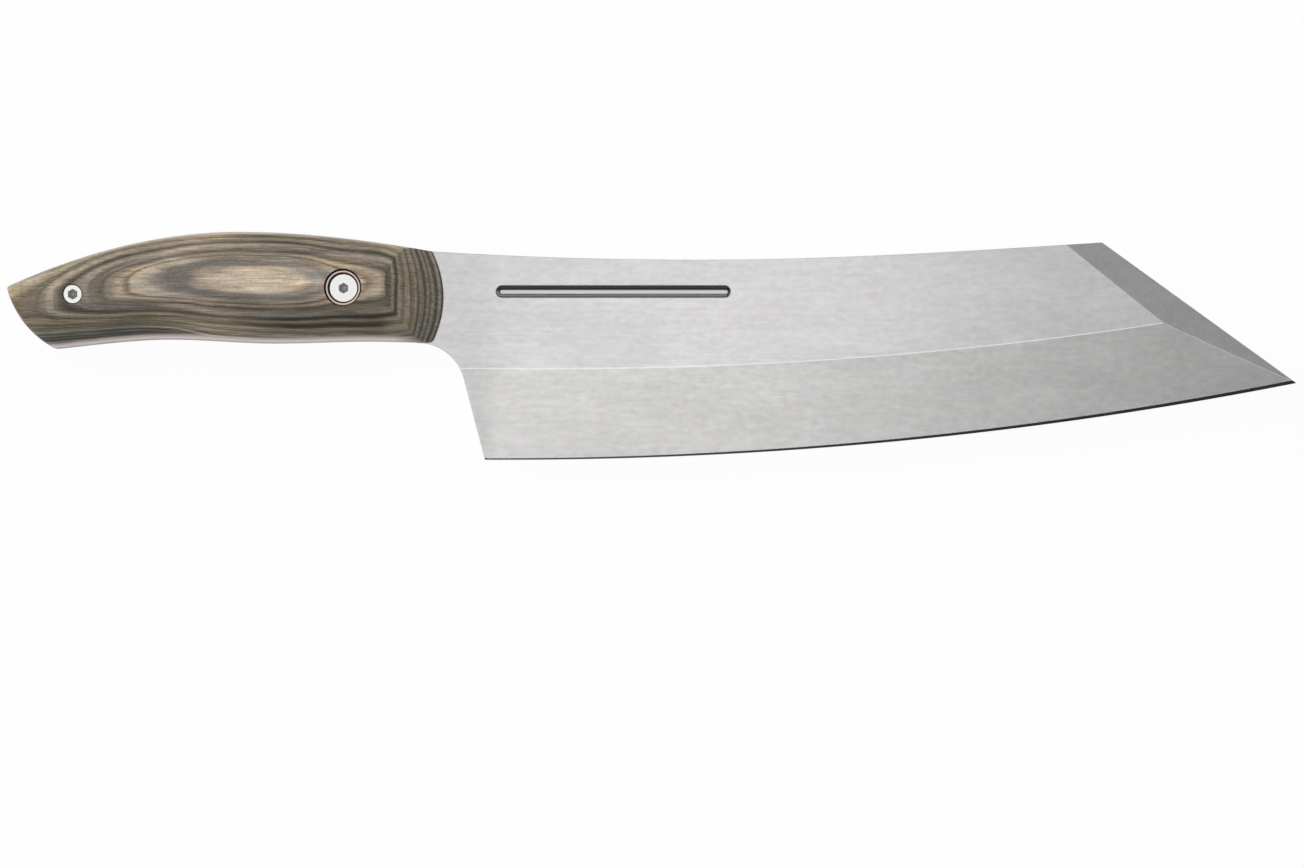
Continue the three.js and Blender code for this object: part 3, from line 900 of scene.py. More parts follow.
class WoodNodes(Graph):
    """The nodes of laminated wood, which know their place on the handle and in its plies."""

    def __init__(self, wood: LaminatedWood) -> None:
        """Finds the place from the butt and above the edge, the side of the ridge and the depth in the plies.

        Args:
            wood: The finish.
        """
        super().__init__(bpy.data.materials.new(wood.name))
        self.wood, self.at = wood, self.place()
        self.x, self.y, z = self.split(self.vector("SUBTRACT", self.at, wood.origin))
        level = self.math("SUBTRACT", wood.origin[2], self.math("ABSOLUTE", z))
        above = self.math("SUBTRACT", self.y, self.curve(self.x, wood.ridge))
        self.side = self.between(above, wood.ridge_blend, (0, 1))  # 0 on the belly to 1 on the back
        self.depth = self.math("ADD", self.pressed(level), self.grain(wood.sway), self.grain(wood.fray))

    def grain(self, grain: Grain) -> Socket:
        """A pattern's effect."""
        noise = self.noise(self.at, grain.pitch, grain.detail, grain.shift)
        return self.between(noise, grain.span, grain.effect)

    def pressed(self, level: Socket) -> Socket:
        """Finds the depth in the pressed plies, counted in plies of even thickness.

        Args:
            level: Depth below the plane of the crown's top.

        Returns:
            The depth.
        """
        wood, x = self.wood, self.x
        run = self.math("SUBTRACT", x, wood.crown_from_butt)
        rear, front = (1 / (2 * radius) for radius in wood.crown_radius)
        crown = self.math("MULTIPLY", run, run, self.between(run, (-0.5, 0.5), (rear, front)))
        press = self.mixed(self.side, self.curve(x, wood.belly_press), self.curve(x, wood.back_press))
        fall = self.math("MAXIMUM", self.math("SUBTRACT", level, crown), 0.0)
        blunted = self.math("ADD", fall, self.curve(x, wood.blunt))
        turned = self.math("DIVIDE", self.math("MULTIPLY", fall, fall), blunted)
        top = self.math("MULTIPLY", crown, self.curve(x, wood.crown_press))
        return self.math("ADD", top, self.math("MULTIPLY", turned, press))

    def stretch(self, start: float, end: float) -> Socket:
        """Colours a stretch of depth by its plies.

        Args:
            start: Depth at which the stretch starts.
            end: Depth at which it ends.

        Returns:
            The colour.
        """
        tops = [0.0, *(limit for limit, _ in self.wood.plies)]
        stops: list[tuple[float, Sequence[float]]] = []
        for top, (limit, dye) in zip(tops, self.wood.plies):
            if limit > start and top < end:
                soft = min(self.wood.seam, (limit - top) / 3)
                stops += [(max(start, top + soft), linear(dye)), (min(end, limit - soft), linear(dye))]
        return self.ramp(self.depth, (start, end), stops)

    def dyed(self) -> Socket:
        """Colours the whole depth, one stretch below the other.

        Returns:
            The colour.
        """
        limits = (0.0, *self.wood.splits, self.wood.plies[-1][0])
        colour = self.stretch(*limits[:2])
        for start, end in zip(limits[1:], limits[2:]):
            deeper = self.math("GREATER_THAN", self.depth, start)
            colour = self.blended(deeper, colour, self.stretch(start, end))
        return colour

    def stained(self) -> Socket:
        """Finds the share of the light that the stains leave, with the tone along the handle.

        Returns:
            The share.
        """
        share = self.curve(self.x, self.wood.cast)
        for stain in self.wood.stains:
            rising = self.between(self.x, stain.reach[:2], (0, 1))
            falling = self.between(self.x, stain.reach[2:], (1, 0))
            lying = self.between(self.side, (0, 1), (1, stain.on_back))
            soaked = self.math("MULTIPLY", rising, falling, lying)
            left = self.mixed(soaked, 1.0, self.curve(self.depth, stain.left))
            share = self.math("MULTIPLY", share, left)
        return share

    def marks(self) -> Socket:
        """Finds the light and dark of the lines along the plies, the fibre, the streaks and the specks.

        Returns:
            A factor of the colour.
        """
        wood = self.wood
        ways = enumerate(zip((self.x, self.depth, self.y), wood.line_pitch))
        lines = {axis: self.math("DIVIDE", value, pitch) for axis, (value, pitch) in ways}
        lined = self.add("ShaderNodeCombineXYZ", lines).outputs[0]
        layers = {"Vector": lined, "Scale": 1.0, "Detail": 2.0, "Roughness": 0.8}
        figure = self.add("ShaderNodeTexNoise", layers).outputs[0]
        fine = self.between(figure, wood.line_span, wood.line_effect)
        return self.math("MULTIPLY", fine, *map(self.grain, (wood.fibre, wood.streak, wood.speck)))

    def sheen_and_shade(self, colour: Socket) -> Socket:
        """Paints a pale sheen along the belly's rim and a little along the back's, and shades the wood by how
        far each face leans.

        Args:
            colour: Colour of the wood.

        Returns:
            The colour with its painted sheen and shade.
        """
        wood, upward = self.wood, self.leaning()[1]
        inset = self.math("SUBTRACT", self.y, self.curve(self.x, wood.underside))
        ending = self.between(self.x, wood.belly_sheen_end, (1, 0))
        belly = self.math("MULTIPLY", self.curve(inset, wood.belly_sheen), ending)
        share = self.math("MAXIMUM", belly, self.curve(upward, wood.back_sheen))
        # Painted shade and light by how far the face leans, under the painted sheen.
        return self.blended(share, self.scaled(colour, self.curve(upward, wood.lean_shading)), linear(wood.sheen_colour))

    def material(self) -> Material:
        """Lays the grain and the stains over the dyed plies, and the painted sheen and shade over them.

        Returns:
            The material.
        """
        wood, marks = self.wood, self.marks()
        hue = self.blended(self.grain(wood.tint), *wood.tints)
        dark = self.blended(self.grain(wood.pore), wood.pore_colour, WHITE)
        porous = self.vector("MULTIPLY", self.vector("MULTIPLY", self.dyed(), hue), dark)
        colour = self.scaled(self.scaled(porous, marks), self.stained())
        return self.surface(
            {
                "Base Color": self.sheen_and_shade(colour),
                "Roughness": self.grain(replace(wood.fibre, span=PATTERN, effect=wood.rough)),
                "Normal": self.relief(marks, *wood.relief),
                "Specular IOR Level": 0.25,
                "Coat Weight": 0.25,
                "Coat Roughness": 0.22,
                "Coat IOR": 1.6,
            }
        )


@dataclass(frozen=True)
class PaleFloor:
    """A plain white sweep that keeps a faint shadow."""

    name: str = "studio_sweep"
    tone: Rgb = (246, 246, 246)
    glow: float = 0.96  # share of its own white that the camera and gloss see

    def material(self) -> Material:
        """Builds the finish's material.

        Returns:
            The material.
        """
        graph = Graph(bpy.data.materials.new(self.name))
        rays = graph.add("ShaderNodeLightPath").outputs
        kinds = ("Is Camera Ray", "Is Glossy Ray", "Is Transmission Ray")
        seen = graph.math("MAXIMUM", *(rays[kind] for kind in kinds))
        matte = graph.add("ShaderNodeBsdfDiffuse", {"Color": linear(self.tone)}).outputs[0]
        white = graph.add("ShaderNodeEmission", {"Color": WHITE, "Strength": 1.0}).outputs[0]
        shares = {0: graph.math("MULTIPLY", seen, self.glow), 1: matte, 2: white}
        return graph.finish(graph.add("ShaderNodeMixShader", shares).outputs[0])


# The casts of the blade's steels are painted shade: darker towards the tip and next to the handle.
FLAT_STEEL = SatinSteel(
    "satin_flats",
    (219, 217, 218),
    mottle=0.07,
    cast=((-60.0, 0.92), (-46.0, 0.93), (-39.0, 1.0), (40.0, 1.08), (108.0, 0.91), (171.0, 0.86)),
)
GRIND_STEEL = SatinSteel(
    "satin_grind",
    (213, 212, 211),
    mottle=0.085,
    streak_pitch=(9.0, 0.5, 0.5),
    cast=(
        (-60.0, 0.98), (-44.5, 0.98), (-40.5, 1.1), (0.0, 1.09), (42.0, 1.04), (124.0, 0.83), (171.0, 0.74)
    ),
)
SWEDGE_STEEL = SatinSteel("satin_swedge", (220, 220, 220), cross=0.7, cross_pitch=(0.4, 12.0, 0.4))
# Painted shade and highlight in the groove: darker on the wall that leans to the edge and at its ends,
# brighter on the wall that leans to the spine.
FULLER_STEEL = SatinSteel(
    "milled_groove",
    (174, 174, 174),
    roughness=0.2,
    mottle=0.015,
    streaks=0.02,
    bump=0.0,
    spine_lean_shading=(
        (-1.0, 0.22), (-0.3, 0.22), (-0.12, 0.18), (-0.08, 0.22), (-0.03, 1.0),
        (0.14, 1.0), (0.22, 1.3), (0.5, 0.7), (1.0, 0.45),
    ),
    tip_lean_shading=((-1.0, 0.4), (-0.5, 0.36), (-0.26, 0.24), (-0.13, 1.0), (0.12, 1.0), (0.5, 0.8), (1.0, 0.6)),
)
# Painted shade: the honed edge is toned dark, as it looks in the shade that it faces.
HONED_SHADED_STEEL = SatinSteel("honed_edge_painted_shade", (110, 110, 112), roughness=0.2, mottle=0.03)
# Painted highlight: a pale tone on real narrow facets along the grind lines and round the groove, for the
# light that they catch.
PAINTED_HIGHLIGHT_STEEL = SatinSteel(
    "painted_highlight_line",
    (231, 231, 230),
    roughness=0.3,
    mottle=0.02,
    cast=((-60.0, 0.9), (-44.0, 0.91), (-36.0, 1.0), (171.0, 1.0)),
)
BARREL_STEEL = SatinSteel("barrel_steel", (186, 186, 188))
SCREW_STEEL = TurnedSteel("faced_screw", (224, 224, 223))
# Painted shade: the socket is toned darker than the screw's face, for the shade inside it.
SOCKET_SHADED_STEEL = SatinSteel("broached_socket_painted_shade", (162, 160, 159), roughness=0.46)
# Painted reflection: the collar's warm tint stands in for the wood that the steel reflects.
COLLAR_STEEL = TurnedSteel("faced_collar", (184, 165, 152), roughness=0.25)
# Painted shade in the gaps round the fasteners.
GAP_SHADE = PaintedGapShade("gap_painted_shade", (34, 26, 22))
PLIES: tuple[tuple[float, Rgb], ...] = (
    (0.17, (198, 181, 158)), (0.34, (140, 133, 125)), (0.46, (146, 138, 127)), (0.60, (160, 150, 135)),
    (0.67, (164, 151, 132)), (0.71, (118, 102, 82)), (0.88, (158, 144, 125)), (0.95, (136, 125, 108)),
    (1.08, (102, 96, 84)), (1.35, (128, 119, 105)), (1.68, (141, 132, 118)), (1.80, (120, 113, 99)),
    (2.04, (91, 84, 70)), (2.15, (114, 106, 91)), (2.48, (146, 136, 117)), (2.62, (126, 115, 97)),
    (2.84, (124, 112, 93)), (3.00, (136, 124, 103)), (3.34, (152, 140, 118)), (3.54, (145, 134, 115)),
    (3.70, (126, 116, 98)), (4.35, (151, 141, 121)), (4.46, (122, 113, 97)), (4.74, (106, 99, 86)),
    (5.12, (163, 156, 140)), (5.26, (130, 124, 111)), (5.54, (86, 81, 71)), (5.66, (116, 110, 97)),
    (6.04, (142, 136, 122)), (6.30, (96, 91, 81)), (6.70, (132, 126, 114)), (6.80, (116, 110, 98)),
    (7.10, (89, 84, 74)), (7.24, (120, 113, 99)), (7.60, (158, 149, 133)), (7.90, (88, 82, 72)),
    (9.50, (118, 110, 96)),
)


# The knife.


@dataclass
class Outline:
    """Outline of the handle and the blade, with the lines that both are carved to."""

    handle_length: float = 116.1
    grip_clearance: float = 31.0
    grip_height: float = 29.6
    crest_from_butt: float = 61.5
    back_rise: float = 24.5
    back_fall: float = -10.0
    butt_height: float = 15.0
    butt_lean: float = 13.0
    butt_beak: float = 1.6
    butt_bulge: float = 2.2
    butt_corner: float = 0.9
    butt_toe: float = 3.0
    front_height: float = 24.4
    front_bulge: float = 3.0
    front_toe: float = 1.8
    underside_wave: Stops = ((0.36, 0.9), (0.62, -0.1), (0.84, 0.4))
    blade_length: float = 226.8
    blade_depth: float = 53.2
    waist: float = 68.2
    spine_fall: float = -3.6
    spine_rise: float = 3.7
    clip_length: float = 51.7
    clip_depth: float = 57.8
    tip_rise: float = 20.4
    heel_from_handle: float = 11.0
    heel_lean: float = 14.6
    choil: float = 12.5
    edge_flat: float = 6.3
    steps: int = 64
    short_steps: int = 16  # along the butt, and from knot to knot along the underside
    round_steps: int = 16

    def __post_init__(self) -> None:
        """Works out the corners, the sides and the rounded corners between them."""
        front_x = self.handle_length - self.front_bulge
        low = self.grip_clearance
        self.tip = np.array([self.handle_length + self.blade_length, self.tip_rise])
        self.heel = np.array([self.handle_length + self.heel_from_handle, 0.0])
        self.edge_start = self.heel[0] + self.edge_flat
        reach = self.tip[0] - self.edge_start
        self.edge_radius = (reach**2 + self.tip_rise**2) / (2 * self.tip_rise)
        self.clip_start = np.array([self.tip[0] - self.clip_length, self.clip_depth])
        self.front_corner = np.array([front_x, low + self.front_height])
        self.front_foot = np.array([front_x, low])
        corner = np.array([0.0, low + self.butt_height])
        toe = np.array([self.butt_lean, low - self.butt_beak])
        crest = np.array([self.crest_from_butt, low + self.grip_height])
        rise = sweep(corner, self.back_rise, crest, 0, self.steps)
        fall = sweep(crest, 0, self.front_corner, self.back_fall, self.steps)
        self.back = np.vstack([rise, fall[1:]])
        self.butt = self.butt_curve(corner, toe)
        knots = [(front_x * share, low + lift) for share, lift in self.underside_wave]
        self.underside = wave(np.array([toe, *knots, self.front_foot]), self.short_steps)
        # A point a little way along each side gives its direction at the corner.
        self.toe_round = rounding(self.underside[2], toe, self.butt[2], self.butt_toe, self.round_steps)
        self.corner_round = rounding(self.butt[-3], corner, self.back[4], self.butt_corner, self.round_steps)
        self.butt_side = clear_of(clear_of(self.butt, self.toe_round, toe), self.corner_round, corner)
        self.back_side = clear_of(self.back, self.corner_round, corner)
        self.belly_side = clear_of(self.underside, self.toe_round, toe)

    def butt_curve(self, corner: Points, toe: Points) -> Points:
        """Bows the butt outwards.

        Args:
            corner: The butt's upper corner.
            toe: Its toe.

        Returns:
            Points from the toe up to the corner.
        """
        chord = toe - corner
        outward = unit(np.array([chord[1], -chord[0]]))
        control = (corner + toe) / 2 + outward * 2 * self.butt_bulge
        t = np.linspace(1, 0, self.short_steps + 1)[:, None]
        return (1 - t) ** 2 * corner + 2 * t * (1 - t) * control + t**2 * toe

    def front_x(self, y: Values) -> Values:
        """Where the scales end, at a height."""
        middle = (self.front_corner[1] + self.front_foot[1]) / 2
        return self.handle_length - self.front_bulge * ((y - middle) / (self.front_height / 2)) ** 2

    def front_edge(self, gap: float, overrun: float) -> Points:
        """Front edge of the scales from the top down, some way ahead of them and past their ends."""
        y = np.linspace(self.front_corner[1] + overrun, self.front_foot[1] - overrun, self.steps)
        return np.column_stack([self.front_x(y) + gap, y])

    def edge_y(self, x: Values) -> Values:
        """Height of the cutting edge, straight at first and then an arc."""
        arc = self.edge_radius - np.sqrt(self.edge_radius**2 - (x - self.edge_start) ** 2)
        return np.where(x < self.edge_start, 0.0, arc)

    def whole(self) -> Points:
        """Draws the steel's closed outline, tang and blade.

        Returns:
            Its corners in order.
        """
        rise = self.grip_clearance * math.tan(math.radians(self.heel_lean))
        corner = np.array([self.heel[0] - rise, self.grip_clearance])
        level = np.array([0.0, self.grip_clearance])
        choil = rounding(self.heel, corner, level, self.choil, 2 * self.round_steps)
        waist = np.array([self.handle_length + self.waist, self.blade_depth])
        x = np.linspace(self.tip[0], self.edge_start, 2 * self.steps)
        belly = self.belly_side[self.belly_side[:, 0] < choil[-1, 0]]
        return np.vstack(
            [
                self.toe_round,
                self.butt_side,
                self.corner_round,
                self.back_side,
                sweep(self.front_corner, self.spine_fall, waist, 0, self.steps)[1:],
                sweep(waist, 0, self.clip_start, self.spine_rise, self.steps)[1:],
                np.column_stack([x, self.edge_y(x)]),
                self.heel[None],
                choil,
                belly[::-1],
            ]
        )

    def scale_sides(self) -> dict[str, Points]:
        """Draws the four sides of a scale, which meet halfway round its rounded corners.

        Returns:
            Points of each side by its name.
        """
        half = self.round_steps // 2
        front = self.front_edge(0, 0)
        foot = rounding(self.underside[-5], self.front_foot, front[-5], self.front_toe, self.round_steps)
        belly = clear_of(self.belly_side, foot, self.front_foot)
        return {
            "belly": np.vstack([self.toe_round[half::-1], belly, foot[: half + 1]]),
            "back": np.vstack([self.corner_round[half:], self.back_side]),
            "butt": np.vstack([self.toe_round[half:], self.butt_side, self.corner_round[: half + 1]]),
            "front": np.vstack([foot[half:], clear_of(front, foot, self.front_foot)[::-1]]),
        }


@dataclass
class Settling:
    """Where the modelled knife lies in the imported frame."""

    outline: Outline

    def __post_init__(self) -> None:
        """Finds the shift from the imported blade's box."""
        low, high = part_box("blade")
        self.shift = Vector((high.x - self.outline.tip[0] * MM, low.y, (low.z + high.z) / 2))

    def settle(self, piece: Thing, slot: Slot, *nodes: str) -> None:
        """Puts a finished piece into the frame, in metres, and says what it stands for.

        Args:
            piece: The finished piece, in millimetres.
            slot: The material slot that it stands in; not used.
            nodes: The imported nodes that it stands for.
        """
        take(piece)
        piece.scale = (MM, MM, MM)
        piece.location = self.shift
        bpy.ops.object.transform_apply(location=True, rotation=False, scale=True)
        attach(piece, "root")
        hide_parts(*nodes)
        log.info("%s: %d faces, for %s", piece.name, len(piece.data.polygons), ", ".join(nodes))


@dataclass
class Fastener:
    """Sizes of one screwed fastener and the level in the wood that it is drawn down on."""

    place: Place
    at: Pair
    head: float
    thickness: float
    shank: float
    barrel: float
    recess: float
    seat: float
    play: Pair  # clearance round it in the wood, and how far the recess lies off its axis
    sides: int = 96

    def hole(self, gap: float, reach: float) -> Thing:
        """Tool for the barrel's hole."""
        return drum("hole_tool", self.barrel + 2 * gap, (-reach, reach), self.at, self.sides)

    def pocket(self, depth_gap: float, top: float) -> Thing:
        """Makes the tool for the recess of the head or its collar, a little to the butt and the back.

        Args:
            depth_gap: Clearance under what sits in it.
            top: Height of the tool's upper end.

        Returns:
            The tool.
        """
        gap, off = self.play
        at = (self.at[0] - off, self.at[1] + off)
        return drum("pocket_tool", self.recess + 2 * gap, (self.seat - depth_gap, top), at, self.sides)


@dataclass
class Blade:
    """The ground blade with its full tang."""

    outline: Outline
    stock: float = 3.2
    grind_height: float = 24.25
    grind_flat: float = 20.6
    grind_tip_rise: float = 18.1
    edge_root: float = 0.4
    edge_land: float = 0.06
    edge_bevel: Pair = (0.4, 0.95)
    swedge_width: Pair = (6.8, 10.05)
    fuller_length: float = 62.4
    fuller_width: float = 3.2
    fuller_depth: float = 0.9
    fuller_from_handle: float = 14.0
    fuller_below_waist: float = 8.45
    fuller_lip: float = 0.16
    fuller_lip_depth: float = 0.12
    fuller_power: float = 2.5  # 2 is a round groove, and more is a flatter floor
    fuller_steps: int = 24
    fuller_sides: int = 66  # not a multiple of 4, so that no corner lies in the middle of the groove's length
    tang_relief: float = 0.15
    shoulder_gap: float = 0.1
    barrel_gap: float = 0.15
    rim: tuple[float, int, float] = (0.12, 2, 60.0)  # width, segments and least angle of the rounded edges
    highlight_half_width: float = 0.13  # half the width of the bright lines, whose pale tone is a painted highlight
    smooth: float = 2.2
    cells: int = 140

    @property
    def flat(self) -> float:
        """Height of the flats above the middle of the steel."""
        return self.stock / 2

    @property
    def drop(self) -> float:
        """How far the bevel and the swedge fall from the flats."""
        return self.flat - self.edge_root / 2

    @property
    def swedge_fall(self) -> float:
        """How far the swedge falls for each millimetre towards the spine."""
        clip = self.outline.tip - self.outline.clip_start
        return self.drop / self.swedge_width[1] * clip[0] / np.linalg.norm(clip)

    def grind_y(self, x: Values) -> Values:
        """Height of the grind line."""
        start, end = self.outline.heel[0] + self.grind_flat, self.outline.tip[0]
        return self.grind_height + self.grind_tip_rise * (np.maximum(0, x - start) / (end - start)) ** 2

    def bevel_z(self, x: Values, y: Values) -> Values:
        """Level of the primary bevel."""
        edge = self.outline.edge_y(x)
        return lerp(self.edge_root / 2, self.flat, (y - edge) / (self.grind_y(x) - edge))

    def swedge_y(self, x: Values, offset: float = 0.0) -> Values:
        """Finds the height of the swedge line.

        Args:
            x: Places along the blade.
            offset: How far off from it, towards the spine.

        Returns:
            The height there.
        """
        start, tip = self.outline.clip_start, self.outline.tip
        clip = tip - start
        share = (x - start[0]) / clip[0]
        width = lerp(*self.swedge_width, share) - offset
        return lerp(start[1], tip[1], share) - width * np.linalg.norm(clip) / clip[0]

    def tip_y(self, x: Values) -> Values:
        """Finds the line on which the bevel meets the swedge.

        Args:
            x: Places along the blade.

        Returns:
            The line's height there.
        """
        edge = self.outline.edge_y(x)
        rise = self.drop / (self.grind_y(x) - edge)
        lift = self.drop + self.swedge_fall * self.swedge_y(x) + rise * edge
        return lift / (rise + self.swedge_fall)

    def ruled(self, span: Pair, low: Line, high: Line, finish: SatinSteel) -> Thing:
        """Makes the tool that takes what lies above a ruled face between two lines.

        Args:
            span: Where the tool starts and ends along X.
            low: Lower line, as height and level along X.
            high: Upper line.
            finish: Finish that it leaves.

        Returns:
            The tool.
        """

        def place(u: Values, v: Values) -> Points:
            """Places the tool's cutting face, which runs on past both lines.

            Args:
                u: Shares of the way along X.
                v: Shares of the way from the lower line to the upper one.

            Returns:
                The places.
            """
            x = lerp(*span, u)
            (y0, z0), (y1, z1) = low(x), high(x)
            y = np.where(v < 0.5, y0 - OVERCUT, y1 + OVERCUT)
            return np.column_stack([x, y, z0 + (z1 - z0) / (y1 - y0) * (y - y0)])

        tool = sheet_solid("grind_tool", (self.cells, 1), place, 2 * OVERCUT)
        tidy_mesh()
        return dressed(tool, finish.material())

    def grind_tools(self) -> list[Thing]:
        """Makes the tools for the right side's bevels and the narrow lines between them, which take a painted
        highlight.

        Returns:
            The tools in the order of their cuts.
        """
        edge_y, grind_y, highlight_half_width = self.outline.edge_y, self.grind_y, self.highlight_half_width
        heel, tip = self.outline.heel[0], self.outline.tip[0]
        long = (heel - 2 * OVERCUT, tip + OVERCUT)
        short = (self.outline.clip_start[0] - 4 * OVERCUT, tip + OVERCUT)

        def level(height: Callable[[Values], Values], z: float) -> Line:
            """A line at one level."""
            return lambda x: (height(x), np.full_like(x, z))

        def on_bevel(height: Callable[[Values], Values]) -> Line:
            """A line on the primary bevel."""
            return lambda x: (height(x), self.bevel_z(x, height(x)))

        def honed(x: Values) -> Values:
            """Upper line of the honed bevel."""
            return edge_y(x) + lerp(*self.edge_bevel, (x - heel) / (tip - heel))

        def swedge(offset: float) -> Line:
            """A line along the swedge, off from its own, or level with it on the flat."""
            fallen = max(0.0, offset) * self.drop / self.swedge_width[1]
            return level(lambda x: self.swedge_y(x, offset), self.flat - fallen)

        def over_tip(x: Values) -> tuple[Values, Values]:
            """Upper line of the bright line between bevel and swedge."""
            y = self.tip_y(x)
            return y + highlight_half_width, self.bevel_z(x, y) - self.swedge_fall * highlight_half_width

        faces = (
            (long, level(edge_y, self.edge_root / 2), level(grind_y, self.flat), GRIND_STEEL),
            (
                long,
                on_bevel(lambda x: grind_y(x) - highlight_half_width),
                level(lambda x: grind_y(x) + highlight_half_width, self.flat),
                PAINTED_HIGHLIGHT_STEEL,
            ),
            (short, swedge(0.0), swedge(self.swedge_width[0]), SWEDGE_STEEL),
            (short, swedge(-highlight_half_width), swedge(highlight_half_width), PAINTED_HIGHLIGHT_STEEL),
            (short, on_bevel(lambda x: self.tip_y(x) - highlight_half_width), over_tip, PAINTED_HIGHLIGHT_STEEL),
            (long, level(edge_y, self.edge_land / 2), on_bevel(honed), HONED_SHADED_STEEL),
        )
        return [self.ruled(*face) for face in faces]

    def fuller_tool(self, lip: float, depth: float, finish: SatinSteel) -> Thing:
        """Makes a round-ended milling tool laid along the blade.

        Args:
            lip: How far it reaches past the groove all round.
            depth: Depth of its cut.
            finish: Finish that it leaves.

        Returns:
            The tool.
        """
        width, length = self.fuller_width + 2 * lip, self.fuller_length + 2 * lip
        middle_x = self.outline.handle_length + self.fuller_from_handle + self.fuller_length / 2
        middle_y = self.outline.blade_depth - self.fuller_below_waist
        turns = np.linspace(0, math.pi / 2, self.fuller_steps)
        radii = np.sin(turns) ** (2 / self.fuller_power) * width / 2
        levels = self.flat - np.cos(turns).clip(0) ** (2 / self.fuller_power) * depth
        top = self.flat + OVERCUT
        tool = spun("fuller_tool", [*zip(radii, levels), (width / 2, top), (0.0, top)], self.fuller_sides)

        def drawn_out(places: Points) -> Points:
            """Draws the tool's two halves apart to its length."""
            halves = np.where(np.abs(places[:, 0]) > WELD, np.sign(places[:, 0]), 0)
            return places + np.outer(halves, ((length - width) / 2, 0, 0))

        replace_points(tool, drawn_out)
        shift(tool, (middle_x, middle_y, 0))
        return dressed(tool, finish.material())

    def relief_tool(self) -> Thing:
        """Makes the tool that sinks the tang's face below the flat, under the scale.

        Returns:
            The tool.
        """
        front = self.outline.front_edge(self.shoulder_gap, OVERCUT)
        top = self.outline.grip_clearance + self.outline.grip_height + OVERCUT
        corners = [(-OVERCUT, front[-1, 1]), (-OVERCUT, top), (front[0, 0], top)]
        level = self.flat - self.tang_relief
        return prism("relief_tool", np.vstack([front, corners]), level, level + OVERCUT)

    def build(self, fasteners: Iterable[Fastener]) -> Thing:
        """Models the blade.

        Args:
            fasteners: The fasteners whose barrels pass through the tang.

        Returns:
            The blade, in millimetres.
        """
        blade = prism("ground_blade", self.outline.whole(), -self.flat, self.flat)
        soften(blade, *self.rim)
        dressed(blade, FLAT_STEEL.material())
        tools = [
            *self.grind_tools(),
            self.fuller_tool(self.fuller_lip, self.fuller_lip_depth, PAINTED_HIGHLIGHT_STEEL),
            self.fuller_tool(0.0, self.fuller_depth, FULLER_STEEL),
            self.relief_tool(),
        ]
        for tool in tools:
            cut(blade, flipped(tool, "far_tool"))
            cut(blade, tool)
        for fastener in fasteners:
            cut(blade, fastener.hole(self.barrel_gap, self.stock))
        shade(blade, self.smooth)
        return blade


